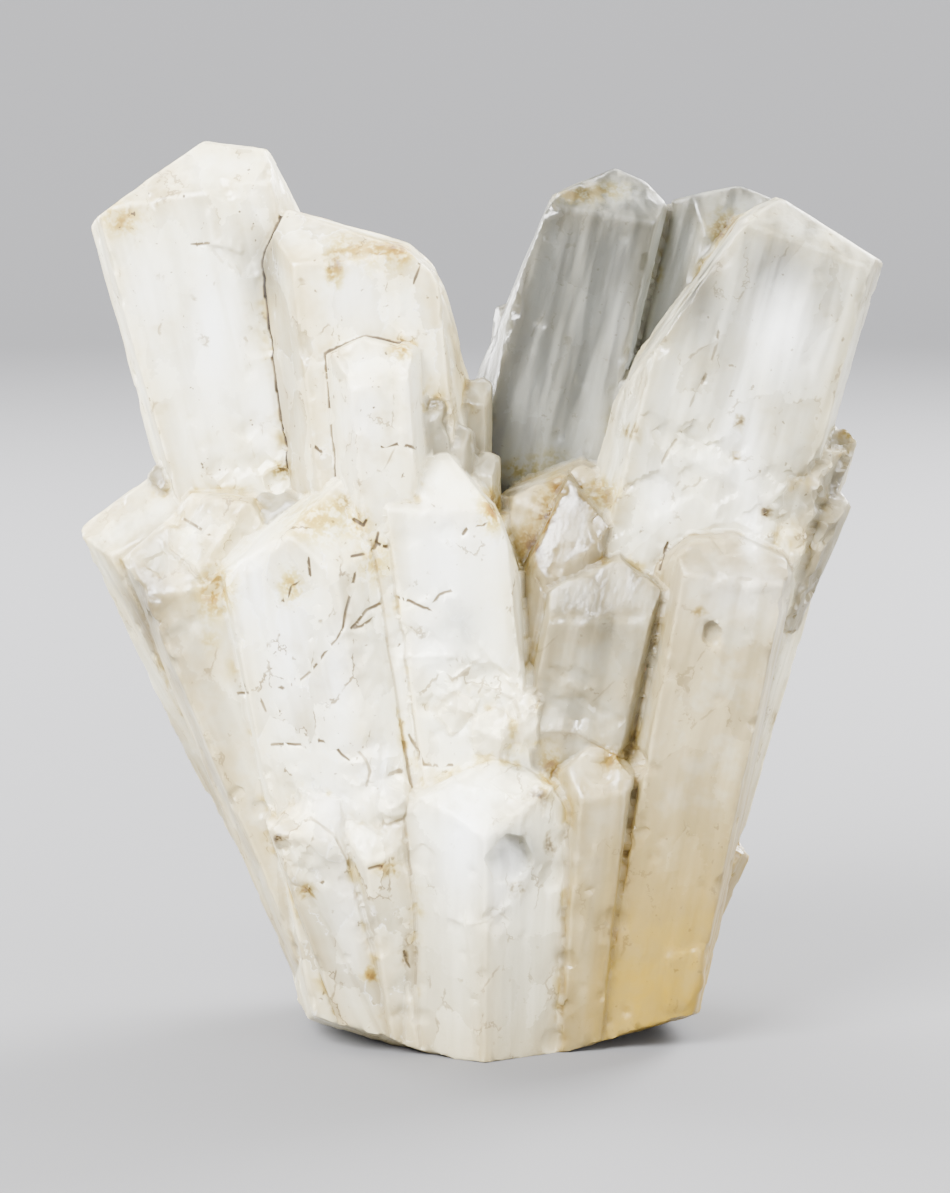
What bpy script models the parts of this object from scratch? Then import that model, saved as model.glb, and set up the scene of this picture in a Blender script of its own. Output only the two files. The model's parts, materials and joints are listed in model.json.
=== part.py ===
"""Calcite cluster: stout translucent crystals fanned out in two sprays from one root.

Each crystal is a six-sided prism whose end is cut off by flat faces. All of them grew
together, so they are joined in one solid, which is cut off flat where it rests.
Lengths in the crystal tables are millimetres: X to the right, Y away from the front, Z up.
"""

import math
from dataclasses import dataclass

import bmesh
import bpy
from mathutils import Matrix, Vector

MM = 0.001
NODE_NAME = "calcite_cluster"

# The lump that all crystals grow from, and how far a foot reaches into it
ROOT_WIDTH = 37.0
ROOT_DEPTH = 31.0
ROOT_HEIGHT = 30.0
BELOW_REST = 8.0

# A cutter is a cube much larger than the cluster
CUTTER_SIDE = 240.0

# How far everything is moved so that the cluster's bounding box is centred on the origin
CENTRING = (-0.533, -6.467, 0.0)

# Length of prism that the end cuts take away, and how much narrower a foot is than an end
PRISM_MARGIN = 14.0
FOOT_TAPER = 0.86

# Thinnest gap between two cuts that still counts as two corners
MERGE_DISTANCE = 1e-5

CALCITE_TINT = (0.87, 0.85, 0.79, 1.0)
CALCITE_ROUGHNESS = 0.3

# Broken underside: each entry is (azimuth, rise, out), a flat that leaves the resting
# face so far out on that side and rises outwards at that angle
BASE_BREAKS = (
    (180, 12, 11.0),
    (184, 47, 19.0),
    (182, 66, 21.0),
    (225, 26, 13.5),
    (2, 9, 14.0),
    (0, 48, 25.5),
    (318, 22, 16.5),
    (45, 34, 24.0),
    (95, 38, 23.0),
    (140, 36, 23.0),
)


@dataclass
class Crystal:
    """One crystal: its axis runs from foot to tip, and cuts are the flat faces of its end.

    A cut is (azimuth, slope, out, down): the side of the axis that the face looks to, with
    0 right, 90 back, 180 left and 270 front; its slope from square across the axis; and a
    point that it passes through, so far out on that side and so far down from the tip.
    """

    name: str
    foot: tuple
    tip: tuple
    width: float
    depth: float
    cuts: tuple
    turn: float = 0.0
    flat: float = 0.62


LEFT_SPRAY = (
    Crystal("far_left_tall", (-10, 4, 3), (-37, 6, 111.4), 27.5, 19,
            ((180, 22, -3, 0.6), (0, 21, 3, 0.6), (0, 76, 10.5, 3.5), (180, 62, 12, 5.4),
             (272, 46, 6, 3.2), (90, 40, 5, 2)), turn=-3, flat=0.8),
    Crystal("inner_tall", (-4.5, -2, 3), (-14.6, -3, 103.2), 25.5, 19,
            ((180, 55, 10.2, 1.6), (0, 23, -5, 0.3), (0, 48, 4.7, 3.5), (0, 67, 8.1, 6.6),
             (0, 80, 10.2, 13), (275, 40, 6, 2.6), (90, 35, 5, 2)), turn=4, flat=0.7),
    Crystal("small_front_blade", (-6, -7, 5), (-12.6, -13, 88.5), 12, 12,
            ((180, 21, 1, 0), (0, 18, -1, 0), (270, 52, 3, 1.5)), turn=8, flat=0.6),
    Crystal("low_left", (-11, 4, 6), (-43.3, 5, 68), 21, 20,
            ((180, 9, 0, 0), (180, 44, 7.1, 1.2), (270, 40, 4, 1), (90, 40, 4, 1)), flat=0.5),
    Crystal("front_left_broad", (-8.5, -2.5, -6), (-21.4, -8.5, 69.4), 29.5, 24,
            ((190, 28, -1, 0.6), (0, 30, 6.5, -1), (228, 58, 8, 0.5), (296, 60, 9, 1.5)),
            turn=-18, flat=0.5),
    Crystal("front_right_broad", (5, -3, -6), (-4.9, -8.4, 74.6), 20.5, 20,
            ((180, 14, -1, 0), (180, 50, 8, 1), (0, 55, 1.6, 0.5), (0, 79, 8, 14), (280, 46, 5, 1.5)),
            turn=3, flat=0.7),
    Crystal("front_stub", (1, -7.5, -8), (1.3, -12, 36.8), 24.5, 20.5,
            ((180, 24, 1, 0), (186, 50, 8.2, 2.6), (0, 20, 3, 0), (0, 56, 8.2, 2.6), (268, 46, 7, 2.5)),
            turn=31, flat=0.5),
    Crystal("low_left_front", (-8, -5.5, -8), (-20.6, -12, 33), 14, 15,
            ((180, 30, 2, 0), (0, 25, 2, 0), (270, 50, 5, 1)), turn=-12, flat=0.55),
    Crystal("low_middle_front", (-7.5, -7, -8), (-13.2, -14, 32), 11, 13,
            ((180, 34, 1, 0), (0, 26, 1, 0), (270, 55, 3, 1)), turn=14, flat=0.5),
    Crystal("left_flank", (-9, -1, -6), (-37, -3, 65.5), 19, 18,
            ((180, 20, 2, 0), (0, 34, 2, 0), (270, 56, 4, 1)), turn=-5, flat=0.6),
    Crystal("left_shoulder", (-18, -1, 38), (-34.6, -4.5, 68), 15, 15,
            ((180, 20, 2, 0), (0, 28, 1, 0), (258, 44, 3, 1)), turn=14, flat=0.7),
)

RIGHT_SPRAY = (
    Crystal("clear_tall", (-5.4, 10, 12), (15.8, 12, 108.5), 20.5, 15,
            ((180, 36, -1.2, 0.4), (180, 80, 4.9, 3.4), (0, 12, 2.2, 0), (0, 34, 6.2, 1), (272, 50, 4, 2),
             (90, 35, 4, 1)), turn=4, flat=0.76),
    Crystal("clear_behind", (8, 10, 12), (33.3, 13, 106), 16, 14,
            ((180, 28, 0, 0), (0, 8, 0, 0), (270, 55, 3, 1), (90, 35, 4, 1)), turn=8, flat=0.5),
    Crystal("tall_right", (10.5, -1, 2), (37.8, -2, 104.6), 29, 20,
            ((0, 17, 0, 0), (180, 42, 0.7, 0), (180, 70, 4.4, 3.5), (278, 42, 7, 1.6), (90, 35, 6, 1)),
            turn=3, flat=0.82),
    Crystal("right_flank", (18.5, 1, -4), (40, 0, 76), 16, 22,
            ((180, 10, -8, 0), (270, 45, 7, 1), (90, 45, 7, 1)), turn=-6, flat=0.6),
    Crystal("round_ended", (19, -3.5, -4), (31.4, -10, 64.6), 18.5, 18,
            ((180, 49, 4, 0), (180, 15, 0, 0), (0, 14, 1.2, 0.2), (0, 52, 7, 2), (270, 40, 5, 1.2)),
            turn=4, flat=0.7),
    Crystal("stained", (0, 0, 6), (10.6, -1, 72.5), 16, 14,
            ((180, 30, -3, 0), (180, 69, 5, 2), (0, 10, 2, 0), (272, 55, 3, 1)), turn=-10, flat=0.5),
    Crystal("pointed", (2, -3, 14), (12.4, -8.5, 70.8), 14, 13,
            ((0, 37, -1, 0), (180, 74, 1, 0), (252, 64, 1, 0)), turn=12, flat=0.5),
    Crystal("grey_window", (5, -5, 4), (17, -10.5, 62.8), 18, 14,
            ((180, 34, -2, 0), (0, 24, -1, 0), (262, 66, 3.5, 1)), turn=-3, flat=0.7),
    Crystal("low_right_front", (11.5, -6.5, -6), (14.8, -13, 38.6), 11.5, 13,
            ((180, 42, 1, 0), (0, 35, 1, 0), (270, 50, 3, 1)), turn=10, flat=0.5),
    Crystal("amber_foot", (14, 0, -8), (28.8, -1, 27), 15, 19,
            ((0, 14, 0, 0), (180, 20, 0, 0), (270, 40, 2, 0.4), (90, 42, 3, 0.4)), turn=-5, flat=0.5),
)

BACK_SPRAY = (
    Crystal("back_far_left", (-8, 8, 4), (-30, 21, 95), 21, 16,
            ((180, 24, 0, 0), (0, 20, 2, 0), (60, 50, 4, 2), (120, 45, 5, 2)), turn=12, flat=0.55),
    Crystal("back_low_left", (-7, 8, -4), (-31, 25, 56), 19, 17,
            ((180, 26, 0, 0), (30, 30, 2, 0), (90, 44, 5, 1)), turn=-8, flat=0.55),
    Crystal("back_middle", (-2, 9, -2), (-7, 23, 80), 20, 17,
            ((0, 28, 1, 0), (180, 30, 2, 0), (90, 46, 4, 1)), turn=6, flat=0.6),
    Crystal("back_inner_right", (3, 10, -4), (10, 27, 66), 18, 16,
            ((0, 27, 0, 0), (180, 33, 3, 0), (85, 52, 3, 0.5)), turn=-10, flat=0.5),
    Crystal("back_tall_right", (8, 7, 0), (30, 22, 85), 21, 17,
            ((0, 25, 2, 0), (180, 29, 1, 0), (95, 48, 5, 1.5)), turn=9, flat=0.6),
    Crystal("back_low_right", (10, 7, -4), (31, 19, 55), 17, 17,
            ((0, 30, 1, 0), (180, 24, 2, 0), (80, 46, 4, 1)), turn=-6, flat=0.55),
    Crystal("back_stub_left", (-6, 10, -8), (-16, 29, 42), 18, 16,
            ((180, 28, 1, 0), (0, 28, 2, 0), (90, 50, 4, 1)), turn=10, flat=0.5),
    Crystal("back_stub_right", (8, 10, -8), (20, 30, 38), 18, 16,
            ((0, 27, 1, 0), (180, 32, 2, 0), (95, 48, 4, 1)), turn=-9, flat=0.5),
    Crystal("back_stub_middle", (0, 10.5, -8), (2, 30.5, 30), 19, 15,
            ((0, 34, 2, 0), (180, 25, 1, 0), (90, 45, 4, 1)), turn=4, flat=0.55),
)

SMALL_ENDS = ((180, 27, 0, 0), (0, 30, 0, 0), (270, 48, 0.8, 0.4), (90, 45, 0.8, 0.4))

SMALL_CRYSTALS = (
    Crystal("sliver_high", (0.4, -2, 64), (0.4, -3, 83), 4, 7, SMALL_ENDS, turn=-8),
    Crystal("sliver_by_blade", (-3.4, -8, 62), (-5.6, -10.5, 81.5), 4.4, 6, SMALL_ENDS, turn=12),
    Crystal("sliver_by_plate", (-1, -7, 58), (-2.2, -9, 77.6), 4, 6, SMALL_ENDS, turn=-12),
    Crystal("sliver_in_cleft", (2.2, -5, 56), (1.4, -7, 74), 3.8, 6, SMALL_ENDS, turn=-10),
    Crystal("shoulder_lump", (-26, -5, 50), (-34.4, -8, 62.6), 9, 9, SMALL_ENDS, turn=-15),
    Crystal("shoulder_fill", (-18, -3, 50), (-27, -5.5, 68.8), 13, 11, SMALL_ENDS, turn=20),
    Crystal("shoulder_nub", (-34, 3, 60), (-40, 2, 71.6), 4, 6, SMALL_ENDS, turn=10),
    Crystal("scallop_left", (-8, -12, 26), (-11.6, -17, 35.5), 6.5, 7, SMALL_ENDS, turn=15),
    Crystal("chip_one", (-1.6, -9, 36), (-3, -15.4, 46.5), 8, 7, SMALL_ENDS, turn=25),
    Crystal("chip_two", (2.5, -10, 32), (2, -15.6, 44), 7, 6, SMALL_ENDS, turn=-12),
    Crystal("chip_three", (5.6, -10, 33), (6, -14.6, 45.5), 5, 6, SMALL_ENDS, turn=8),
    Crystal("step_plate", (-1.5, 8, 50), (5.3, 10.3, 91.6), 5.5, 8, SMALL_ENDS, turn=5),
    Crystal("flank_block", (12.6, -6, 60), (15.8, -9, 69.8), 5, 6, SMALL_ENDS, turn=-30),
    Crystal("edge_knob", (40, -2, 62), (46, -2.5, 76.4), 4.2, 9, SMALL_ENDS, turn=5),
    Crystal("edge_knob_low", (38, -4, 52), (45, -5, 69), 5, 9, SMALL_ENDS, turn=-15),
    Crystal("back_bud_left", (-16, 18, 50), (-20, 27, 66), 8, 8, SMALL_ENDS, turn=15),
    Crystal("back_bud_right", (17, 18, 46), (21, 27.5, 60), 8, 8, SMALL_ENDS, turn=-15),
    Crystal("back_bud_low", (-5, 22, 20), (-7, 33.5, 36), 7, 7, SMALL_ENDS, turn=28),
)

# Prisms sunk into the surface, each from outside to the bottom of a pit
PITS = (
    Crystal("rhomb_window", (9.5, -29, 27), (3.7, -19.2, 25.4), 8, 6.4, ((0, 0, 0, 0),), turn=8, flat=0.4),
    Crystal("face_pit_high", (31, -24, 84), (29.6, -11.4, 83), 3.4, 2.6, ((0, 0, 0, 0),), turn=20, flat=0.4),
    Crystal("face_pit_low", (29, -30, 52), (28.6, -16.4, 52.6), 3, 3.6, ((0, 0, 0, 0),), turn=-15, flat=0.4),
    Crystal("stain_hollow", (-24, -16, 67.5), (-24.4, -3, 70.4), 4, 3.4, ((0, 0, 0, 0),), turn=30, flat=0.4),
)


def prism_outline(width, depth, flat):
    """The six corners of a prism that is flat across its front and back."""
    side, shoulder, half_depth = width / 2, flat * width / 2, depth / 2
    return (
        (side, 0.0),
        (shoulder, half_depth),
        (-shoulder, half_depth),
        (-side, 0.0),
        (-shoulder, -half_depth),
        (shoulder, -half_depth),
    )


def axis_frame(crystal):
    """The matrix that stands a crystal on its foot, with its axis towards its tip."""
    foot, tip = Vector(crystal.foot), Vector(crystal.tip)
    up = (tip - foot).normalized()
    right = (Vector((1, 0, 0)) - up * up.x).normalized()
    back = up.cross(right)
    turned = Matrix((right, back, up)).transposed().to_4x4()
    return Matrix.Translation(foot) @ turned


def facing(azimuth, slope):
    """The outward direction of a face that looks to a side and leans up from it."""
    side = Vector((math.cos(math.radians(azimuth)), math.sin(math.radians(azimuth)), 0))
    lean = math.radians(slope)
    return side, side * math.sin(lean) + Vector((0, 0, math.cos(lean)))


def cut_end(shape, length, cut):
    """Cut the end of a prism off with one flat face, and close it."""
    azimuth, slope, out, down = cut
    side, normal = facing(azimuth, slope)
    point = side * out + Vector((0, 0, length - down))
    everything = shape.verts[:] + shape.edges[:] + shape.faces[:]
    found = bmesh.ops.bisect_plane(
        shape, geom=everything, dist=MERGE_DISTANCE, plane_co=point, plane_no=normal, clear_outer=True
    )
    rim = [item for item in found["geom_cut"] if isinstance(item, bmesh.types.BMEdge)]
    if rim:
        bmesh.ops.contextual_create(shape, geom=rim)


def grow_prism(shape, outline, length):
    """Extrude an outline upwards into a closed prism that widens a little as it grows."""
    corners = [shape.verts.new((x * FOOT_TAPER, y * FOOT_TAPER, 0)) for x, y in outline]
    foot_face = shape.faces.new(reversed(corners))
    grown = bmesh.ops.extrude_face_region(shape, geom=[foot_face], use_keep_orig=True)
    top = [item for item in grown["geom"] if isinstance(item, bmesh.types.BMVert)]
    bmesh.ops.translate(shape, verts=top, vec=(0, 0, length))
    bmesh.ops.transform(shape, matrix=Matrix.Diagonal((1 / FOOT_TAPER, 1 / FOOT_TAPER, 1, 1)), verts=top)


def finished_mesh(shape, name, placed):
    """Turn a shape in millimetres into a closed mesh in metres, where it stands."""
    moved = Matrix.Scale(MM, 4) @ Matrix.Translation(CENTRING) @ placed
    bmesh.ops.transform(shape, matrix=moved, verts=shape.verts)
    bmesh.ops.recalc_face_normals(shape, faces=shape.faces)
    mesh = bpy.data.meshes.new(name)
    shape.to_mesh(mesh)
    shape.free()
    return mesh


def crystal_mesh(crystal):
    """One crystal: a prism about its own axis, turned, and cut off by its end faces."""
    shape = bmesh.new()
    length = (Vector(crystal.tip) - Vector(crystal.foot)).length
    grow_prism(shape, prism_outline(crystal.width, crystal.depth, crystal.flat), length + PRISM_MARGIN)
    bmesh.ops.rotate(shape, matrix=Matrix.Rotation(math.radians(crystal.turn), 3, "Z"), verts=shape.verts)
    for cut in crystal.cuts:
        cut_end(shape, length, cut)
    return finished_mesh(shape, crystal.name, axis_frame(crystal))


def root_mesh():
    """The lump at the foot, which fills the space between the crystals' feet."""
    shape = bmesh.new()
    grow_prism(shape, prism_outline(ROOT_WIDTH, ROOT_DEPTH, 0.6), ROOT_HEIGHT + BELOW_REST)
    return finished_mesh(shape, NODE_NAME, Matrix.Translation((0, 2, -BELOW_REST)))


def block_mesh(name, placed):
    """A cutter: a large cube whose top face lies on the XY plane before it is placed."""
    shape = bmesh.new()
    bmesh.ops.create_cube(shape, size=CUTTER_SIDE)
    bmesh.ops.translate(shape, verts=shape.verts, vec=(0, 0, -CUTTER_SIDE / 2))
    return finished_mesh(shape, name, placed)


def base_break_frame(azimuth, rise, out):
    """Where the top face of a cutter lies for one broken flat of the underside."""
    side, _ = facing(azimuth, 0)
    hinge = side.cross(Vector((0, 0, 1)))
    return Matrix.Translation(side * out) @ Matrix.Rotation(math.radians(rise), 4, hinge)


def helper_collection(name, meshes):
    """A collection of hidden shapes for a Boolean to join on or cut away."""
    collection = bpy.data.collections.new(name)
    bpy.context.scene.collection.children.link(collection)
    for mesh in meshes:
        helper = bpy.data.objects.new(mesh.name + "_helper", mesh)
        helper.hide_render = True
        helper.display_type = "WIRE"
        collection.objects.link(helper)
    return collection


def add_boolean(cluster, name, operation, collection):
    """Join a collection on to the cluster, or cut it away."""
    modifier = cluster.modifiers.new(name, "BOOLEAN")
    modifier.operation = operation
    modifier.operand_type = "COLLECTION"
    modifier.collection = collection
    modifier.solver = "EXACT"


def calcite():
    """Milky white calcite, glossy on its faces."""
    material = bpy.data.materials.new("calcite")
    material.use_nodes = True
    shader = material.node_tree.nodes["Principled BSDF"]
    shader.inputs["Base Color"].default_value = CALCITE_TINT
    shader.inputs["Roughness"].default_value = CALCITE_ROUGHNESS
    shader.inputs["Metallic"].default_value = 0.0
    return material


def main():
    for leftover in list(bpy.data.objects):
        bpy.data.objects.remove(leftover)
    cluster = bpy.data.objects.new(NODE_NAME, root_mesh())
    bpy.context.scene.collection.objects.link(cluster)
    cluster.data.materials.append(calcite())
    crystals = LEFT_SPRAY + RIGHT_SPRAY + BACK_SPRAY + SMALL_CRYSTALS
    grown = helper_collection("crystals", [crystal_mesh(crystal) for crystal in crystals])
    breaks = [crystal_mesh(pit) for pit in PITS]
    breaks.append(block_mesh("resting_face", Matrix.Identity(4)))
    breaks += [block_mesh("base_break", base_break_frame(*entry)) for entry in BASE_BREAKS]
    broken = helper_collection("pits_and_base", breaks)
    add_boolean(cluster, "join_crystals", "UNION", grown)
    add_boolean(cluster, "sink_and_break", "DIFFERENCE", broken)


main()
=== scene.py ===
"""Calcite cluster: milky and clear crystals grown together, with stained seams and worn faces.

Laid out as an add-on and run as a script. Each crystal is a six-sided prism cut off by flat
faces, as in the part's source. They are joined, remeshed finely, set back on to their exact
faces, and given growth steps, ribs, chips, pits, plates and cracks in the mesh itself.
Lengths in the crystal tables and in the sculpting code are millimetres.
"""

import json
import math
from dataclasses import dataclass

import bmesh
import bpy
import numpy as np
from bpy.props import FloatProperty, FloatVectorProperty, IntProperty, PointerProperty
from mathutils import Matrix, Vector, kdtree, noise
from mathutils.bvhtree import BVHTree

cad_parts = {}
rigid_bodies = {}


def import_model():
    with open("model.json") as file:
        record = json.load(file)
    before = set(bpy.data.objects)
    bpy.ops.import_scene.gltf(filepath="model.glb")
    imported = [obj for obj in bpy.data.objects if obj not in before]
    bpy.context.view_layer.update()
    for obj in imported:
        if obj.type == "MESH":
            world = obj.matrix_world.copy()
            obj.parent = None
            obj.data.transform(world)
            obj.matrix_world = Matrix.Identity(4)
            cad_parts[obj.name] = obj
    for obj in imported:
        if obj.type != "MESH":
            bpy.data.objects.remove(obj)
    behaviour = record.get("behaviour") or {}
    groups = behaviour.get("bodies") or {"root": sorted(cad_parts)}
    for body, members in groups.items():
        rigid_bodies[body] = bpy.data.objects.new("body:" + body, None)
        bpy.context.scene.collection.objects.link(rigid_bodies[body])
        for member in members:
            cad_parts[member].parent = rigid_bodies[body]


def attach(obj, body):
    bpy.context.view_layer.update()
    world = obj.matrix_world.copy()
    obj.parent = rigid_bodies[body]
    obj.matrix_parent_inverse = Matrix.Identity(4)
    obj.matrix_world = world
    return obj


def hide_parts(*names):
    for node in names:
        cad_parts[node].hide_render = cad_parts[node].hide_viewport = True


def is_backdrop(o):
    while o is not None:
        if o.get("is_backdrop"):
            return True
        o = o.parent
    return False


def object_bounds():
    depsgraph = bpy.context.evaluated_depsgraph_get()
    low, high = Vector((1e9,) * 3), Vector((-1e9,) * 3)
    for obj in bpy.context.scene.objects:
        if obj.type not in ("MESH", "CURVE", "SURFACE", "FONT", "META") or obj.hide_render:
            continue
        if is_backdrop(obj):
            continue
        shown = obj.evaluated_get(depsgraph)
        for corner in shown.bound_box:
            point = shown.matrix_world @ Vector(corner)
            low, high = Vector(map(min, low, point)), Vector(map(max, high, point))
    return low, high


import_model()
cad_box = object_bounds()

bl_info = {
    "name": "Calcite cluster",
    "version": (1, 0, 0),
    "blender": (4, 5, 0),
    "location": "View3D > Sidebar > Calcite",
    "description": "Builds a cluster of calcite crystals, its floor, lights and camera",
    "category": "Object",
}

MM = 0.001
NODE_NAME = "calcite_cluster"
PIECE_NAME = "calcite_crystals"

# The camera: how far away, how high above level, the height that it looks at, and the size of
# the picture, where so many pixels are one millimetre at that distance
VIEW_DISTANCE = 520.0
VIEW_ELEVATION = 7.0
VIEW_HEIGHT = 55.1
PICTURE_WIDTH = 950
PICTURE_HEIGHT = 1193
PIXELS_PER_MM = 8.0
SENSOR_SIZE = 36.0

# The lump that all crystals grow from: its size, how flat its front is, how far back it stands,
# and how far it and the crystals' feet reach below the resting face
ROOT_WIDTH = 37.0
ROOT_DEPTH = 31.0
ROOT_HEIGHT = 30.0
ROOT_FLAT = 0.6
ROOT_BACK = 2.0
BELOW_REST = 8.0

# A cutter is a cube much larger than the cluster
CUTTER_SIDE = 240.0

# How far everything is moved so that the cluster's bounding box is centred on the origin
CENTRING = (-0.533, -6.467, 0.0)

# Length of prism that the end cuts take away, and how much narrower a foot is than an end
PRISM_MARGIN = 14.0
FOOT_TAPER = 0.86

# Thinnest gap between two cuts that still counts as two corners
MERGE_DISTANCE = 1e-5

# Broken underside: each entry is (azimuth, rise, out), a flat that leaves the resting
# face so far out on that side and rises outwards at that angle
BASE_BREAKS = (
    (180, 12, 11.0),
    (184, 47, 19.0),
    (182, 66, 21.0),
    (225, 26, 13.5),
    (2, 9, 14.0),
    (0, 48, 25.5),
    (318, 22, 16.5),
    (45, 34, 24.0),
    (95, 38, 23.0),
    (140, 36, 23.0),
)


@dataclass
class Crystal:
    """One crystal: its axis runs from foot to tip, and cuts are the flat faces of its end.

    A cut is (azimuth, slope, out, down): the side of the axis that the face looks to, with
    0 right, 90 back, 180 left and 270 front; its slope from square across the axis; and a
    point that it passes through, so far out on that side and so far down from the tip.
    """

    name: str
    foot: tuple
    tip: tuple
    width: float
    depth: float
    cuts: tuple
    turn: float = 0.0
    flat: float = 0.62


LEFT_SPRAY = (
    Crystal("far_left_tall", (-10, 4, 3), (-37, 6, 111.4), 27.5, 19,
            ((180, 22, -3, 0.6), (0, 21, 3, 0.6), (0, 76, 10.5, 3.5), (180, 62, 12, 5.4),
             (272, 46, 6, 3.2), (90, 40, 5, 2)), turn=-3, flat=0.8),
    Crystal("inner_tall", (-4.5, -2, 3), (-14.6, -3, 103.2), 25.5, 19,
            ((180, 55, 10.2, 1.6), (0, 23, -5, 0.3), (0, 48, 4.7, 3.5), (0, 67, 8.1, 6.6),
             (0, 80, 10.2, 13), (275, 40, 6, 2.6), (90, 35, 5, 2)), turn=4, flat=0.7),
    Crystal("small_front_blade", (-6, -7, 5), (-12.6, -13, 88.5), 12, 12,
            ((180, 21, 1, 0), (0, 18, -1, 0), (270, 52, 3, 1.5)), turn=8, flat=0.6),
    Crystal("low_left", (-11, 4, 6), (-43.3, 5, 68), 21, 20,
            ((180, 9, 0, 0), (180, 44, 7.1, 1.2), (270, 40, 4, 1), (90, 40, 4, 1)), flat=0.5),
    Crystal("front_left_broad", (-8.5, -2.5, -6), (-21.4, -8.5, 69.4), 29.5, 24,
            ((190, 28, -1, 0.6), (0, 30, 6.5, -1), (228, 58, 8, 0.5), (296, 60, 9, 1.5)),
            turn=-18, flat=0.5),
    Crystal("front_right_broad", (5, -3, -6), (-4.9, -8.4, 74.6), 20.5, 20,
            ((180, 14, -1, 0), (180, 50, 8, 1), (0, 55, 1.6, 0.5), (0, 79, 8, 14), (280, 46, 5, 1.5)),
            turn=3, flat=0.7),
    Crystal("front_stub", (1, -7.5, -8), (1.3, -12, 36.8), 24.5, 20.5,
            ((180, 24, 1, 0), (186, 50, 8.2, 2.6), (0, 20, 3, 0), (0, 56, 8.2, 2.6), (268, 46, 7, 2.5)),
            turn=31, flat=0.5),
    Crystal("low_left_front", (-8, -5.5, -8), (-20.6, -12, 33), 14, 15,
            ((180, 30, 2, 0), (0, 25, 2, 0), (270, 50, 5, 1)), turn=-12, flat=0.55),
    Crystal("low_middle_front", (-7.5, -7, -8), (-13.2, -14, 32), 11, 13,
            ((180, 34, 1, 0), (0, 26, 1, 0), (270, 55, 3, 1)), turn=14, flat=0.5),
    Crystal("left_flank", (-9, -1, -6), (-37, -3, 65.5), 19, 18,
            ((180, 20, 2, 0), (0, 34, 2, 0), (270, 56, 4, 1)), turn=-5, flat=0.6),
    Crystal("left_shoulder", (-18, -1, 38), (-34.6, -4.5, 68), 15, 15,
            ((180, 20, 2, 0), (0, 28, 1, 0), (258, 44, 3, 1)), turn=14, flat=0.7),
)

RIGHT_SPRAY = (
    Crystal("clear_tall", (-5.4, 10, 12), (15.8, 12, 108.5), 20.5, 15,
            ((180, 36, -1.2, 0.4), (180, 80, 4.9, 3.4), (0, 12, 2.2, 0), (0, 34, 6.2, 1), (272, 50, 4, 2),
             (90, 35, 4, 1)), turn=4, flat=0.76),
    Crystal("clear_behind", (8, 10, 12), (33.3, 13, 106), 16, 14,
            ((180, 28, 0, 0), (0, 8, 0, 0), (270, 55, 3, 1), (90, 35, 4, 1)), turn=8, flat=0.5),
    Crystal("tall_right", (10.5, -1, 2), (37.8, -2, 104.6), 29, 20,
            ((0, 17, 0, 0), (180, 42, 0.7, 0), (180, 70, 4.4, 3.5), (278, 42, 7, 1.6), (90, 35, 6, 1)),
            turn=3, flat=0.82),
    Crystal("right_flank", (18.5, 1, -4), (40, 0, 76), 16, 22,
            ((180, 10, -8, 0), (270, 45, 7, 1), (90, 45, 7, 1)), turn=-6, flat=0.6),
    Crystal("round_ended", (19, -3.5, -4), (31.4, -10, 64.6), 18.5, 18,
            ((180, 49, 4, 0), (180, 15, 0, 0), (0, 14, 1.2, 0.2), (0, 52, 7, 2), (270, 40, 5, 1.2)),
            turn=4, flat=0.7),
    Crystal("stained", (0, 0, 6), (10.6, -1, 72.5), 16, 14,
            ((180, 30, -3, 0), (180, 69, 5, 2), (0, 10, 2, 0), (272, 55, 3, 1)), turn=-10, flat=0.5),
    Crystal("pointed", (2, -3, 14), (12.4, -8.5, 70.8), 14, 13,
            ((0, 37, -1, 0), (180, 74, 1, 0), (252, 64, 1, 0)), turn=12, flat=0.5),
    Crystal("grey_window", (5, -5, 4), (17, -10.5, 62.8), 18, 14,
            ((180, 34, -2, 0), (0, 24, -1, 0), (262, 66, 3.5, 1)), turn=-3, flat=0.7),
    Crystal("low_right_front", (11.5, -6.5, -6), (14.8, -13, 38.6), 11.5, 13,
            ((180, 42, 1, 0), (0, 35, 1, 0), (270, 50, 3, 1)), turn=10, flat=0.5),
    Crystal("amber_foot", (14, 0, -8), (28.8, -1, 27), 15, 19,
            ((0, 14, 0, 0), (180, 20, 0, 0), (270, 40, 2, 0.4), (90, 42, 3, 0.4)), turn=-5, flat=0.5),
)

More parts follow.
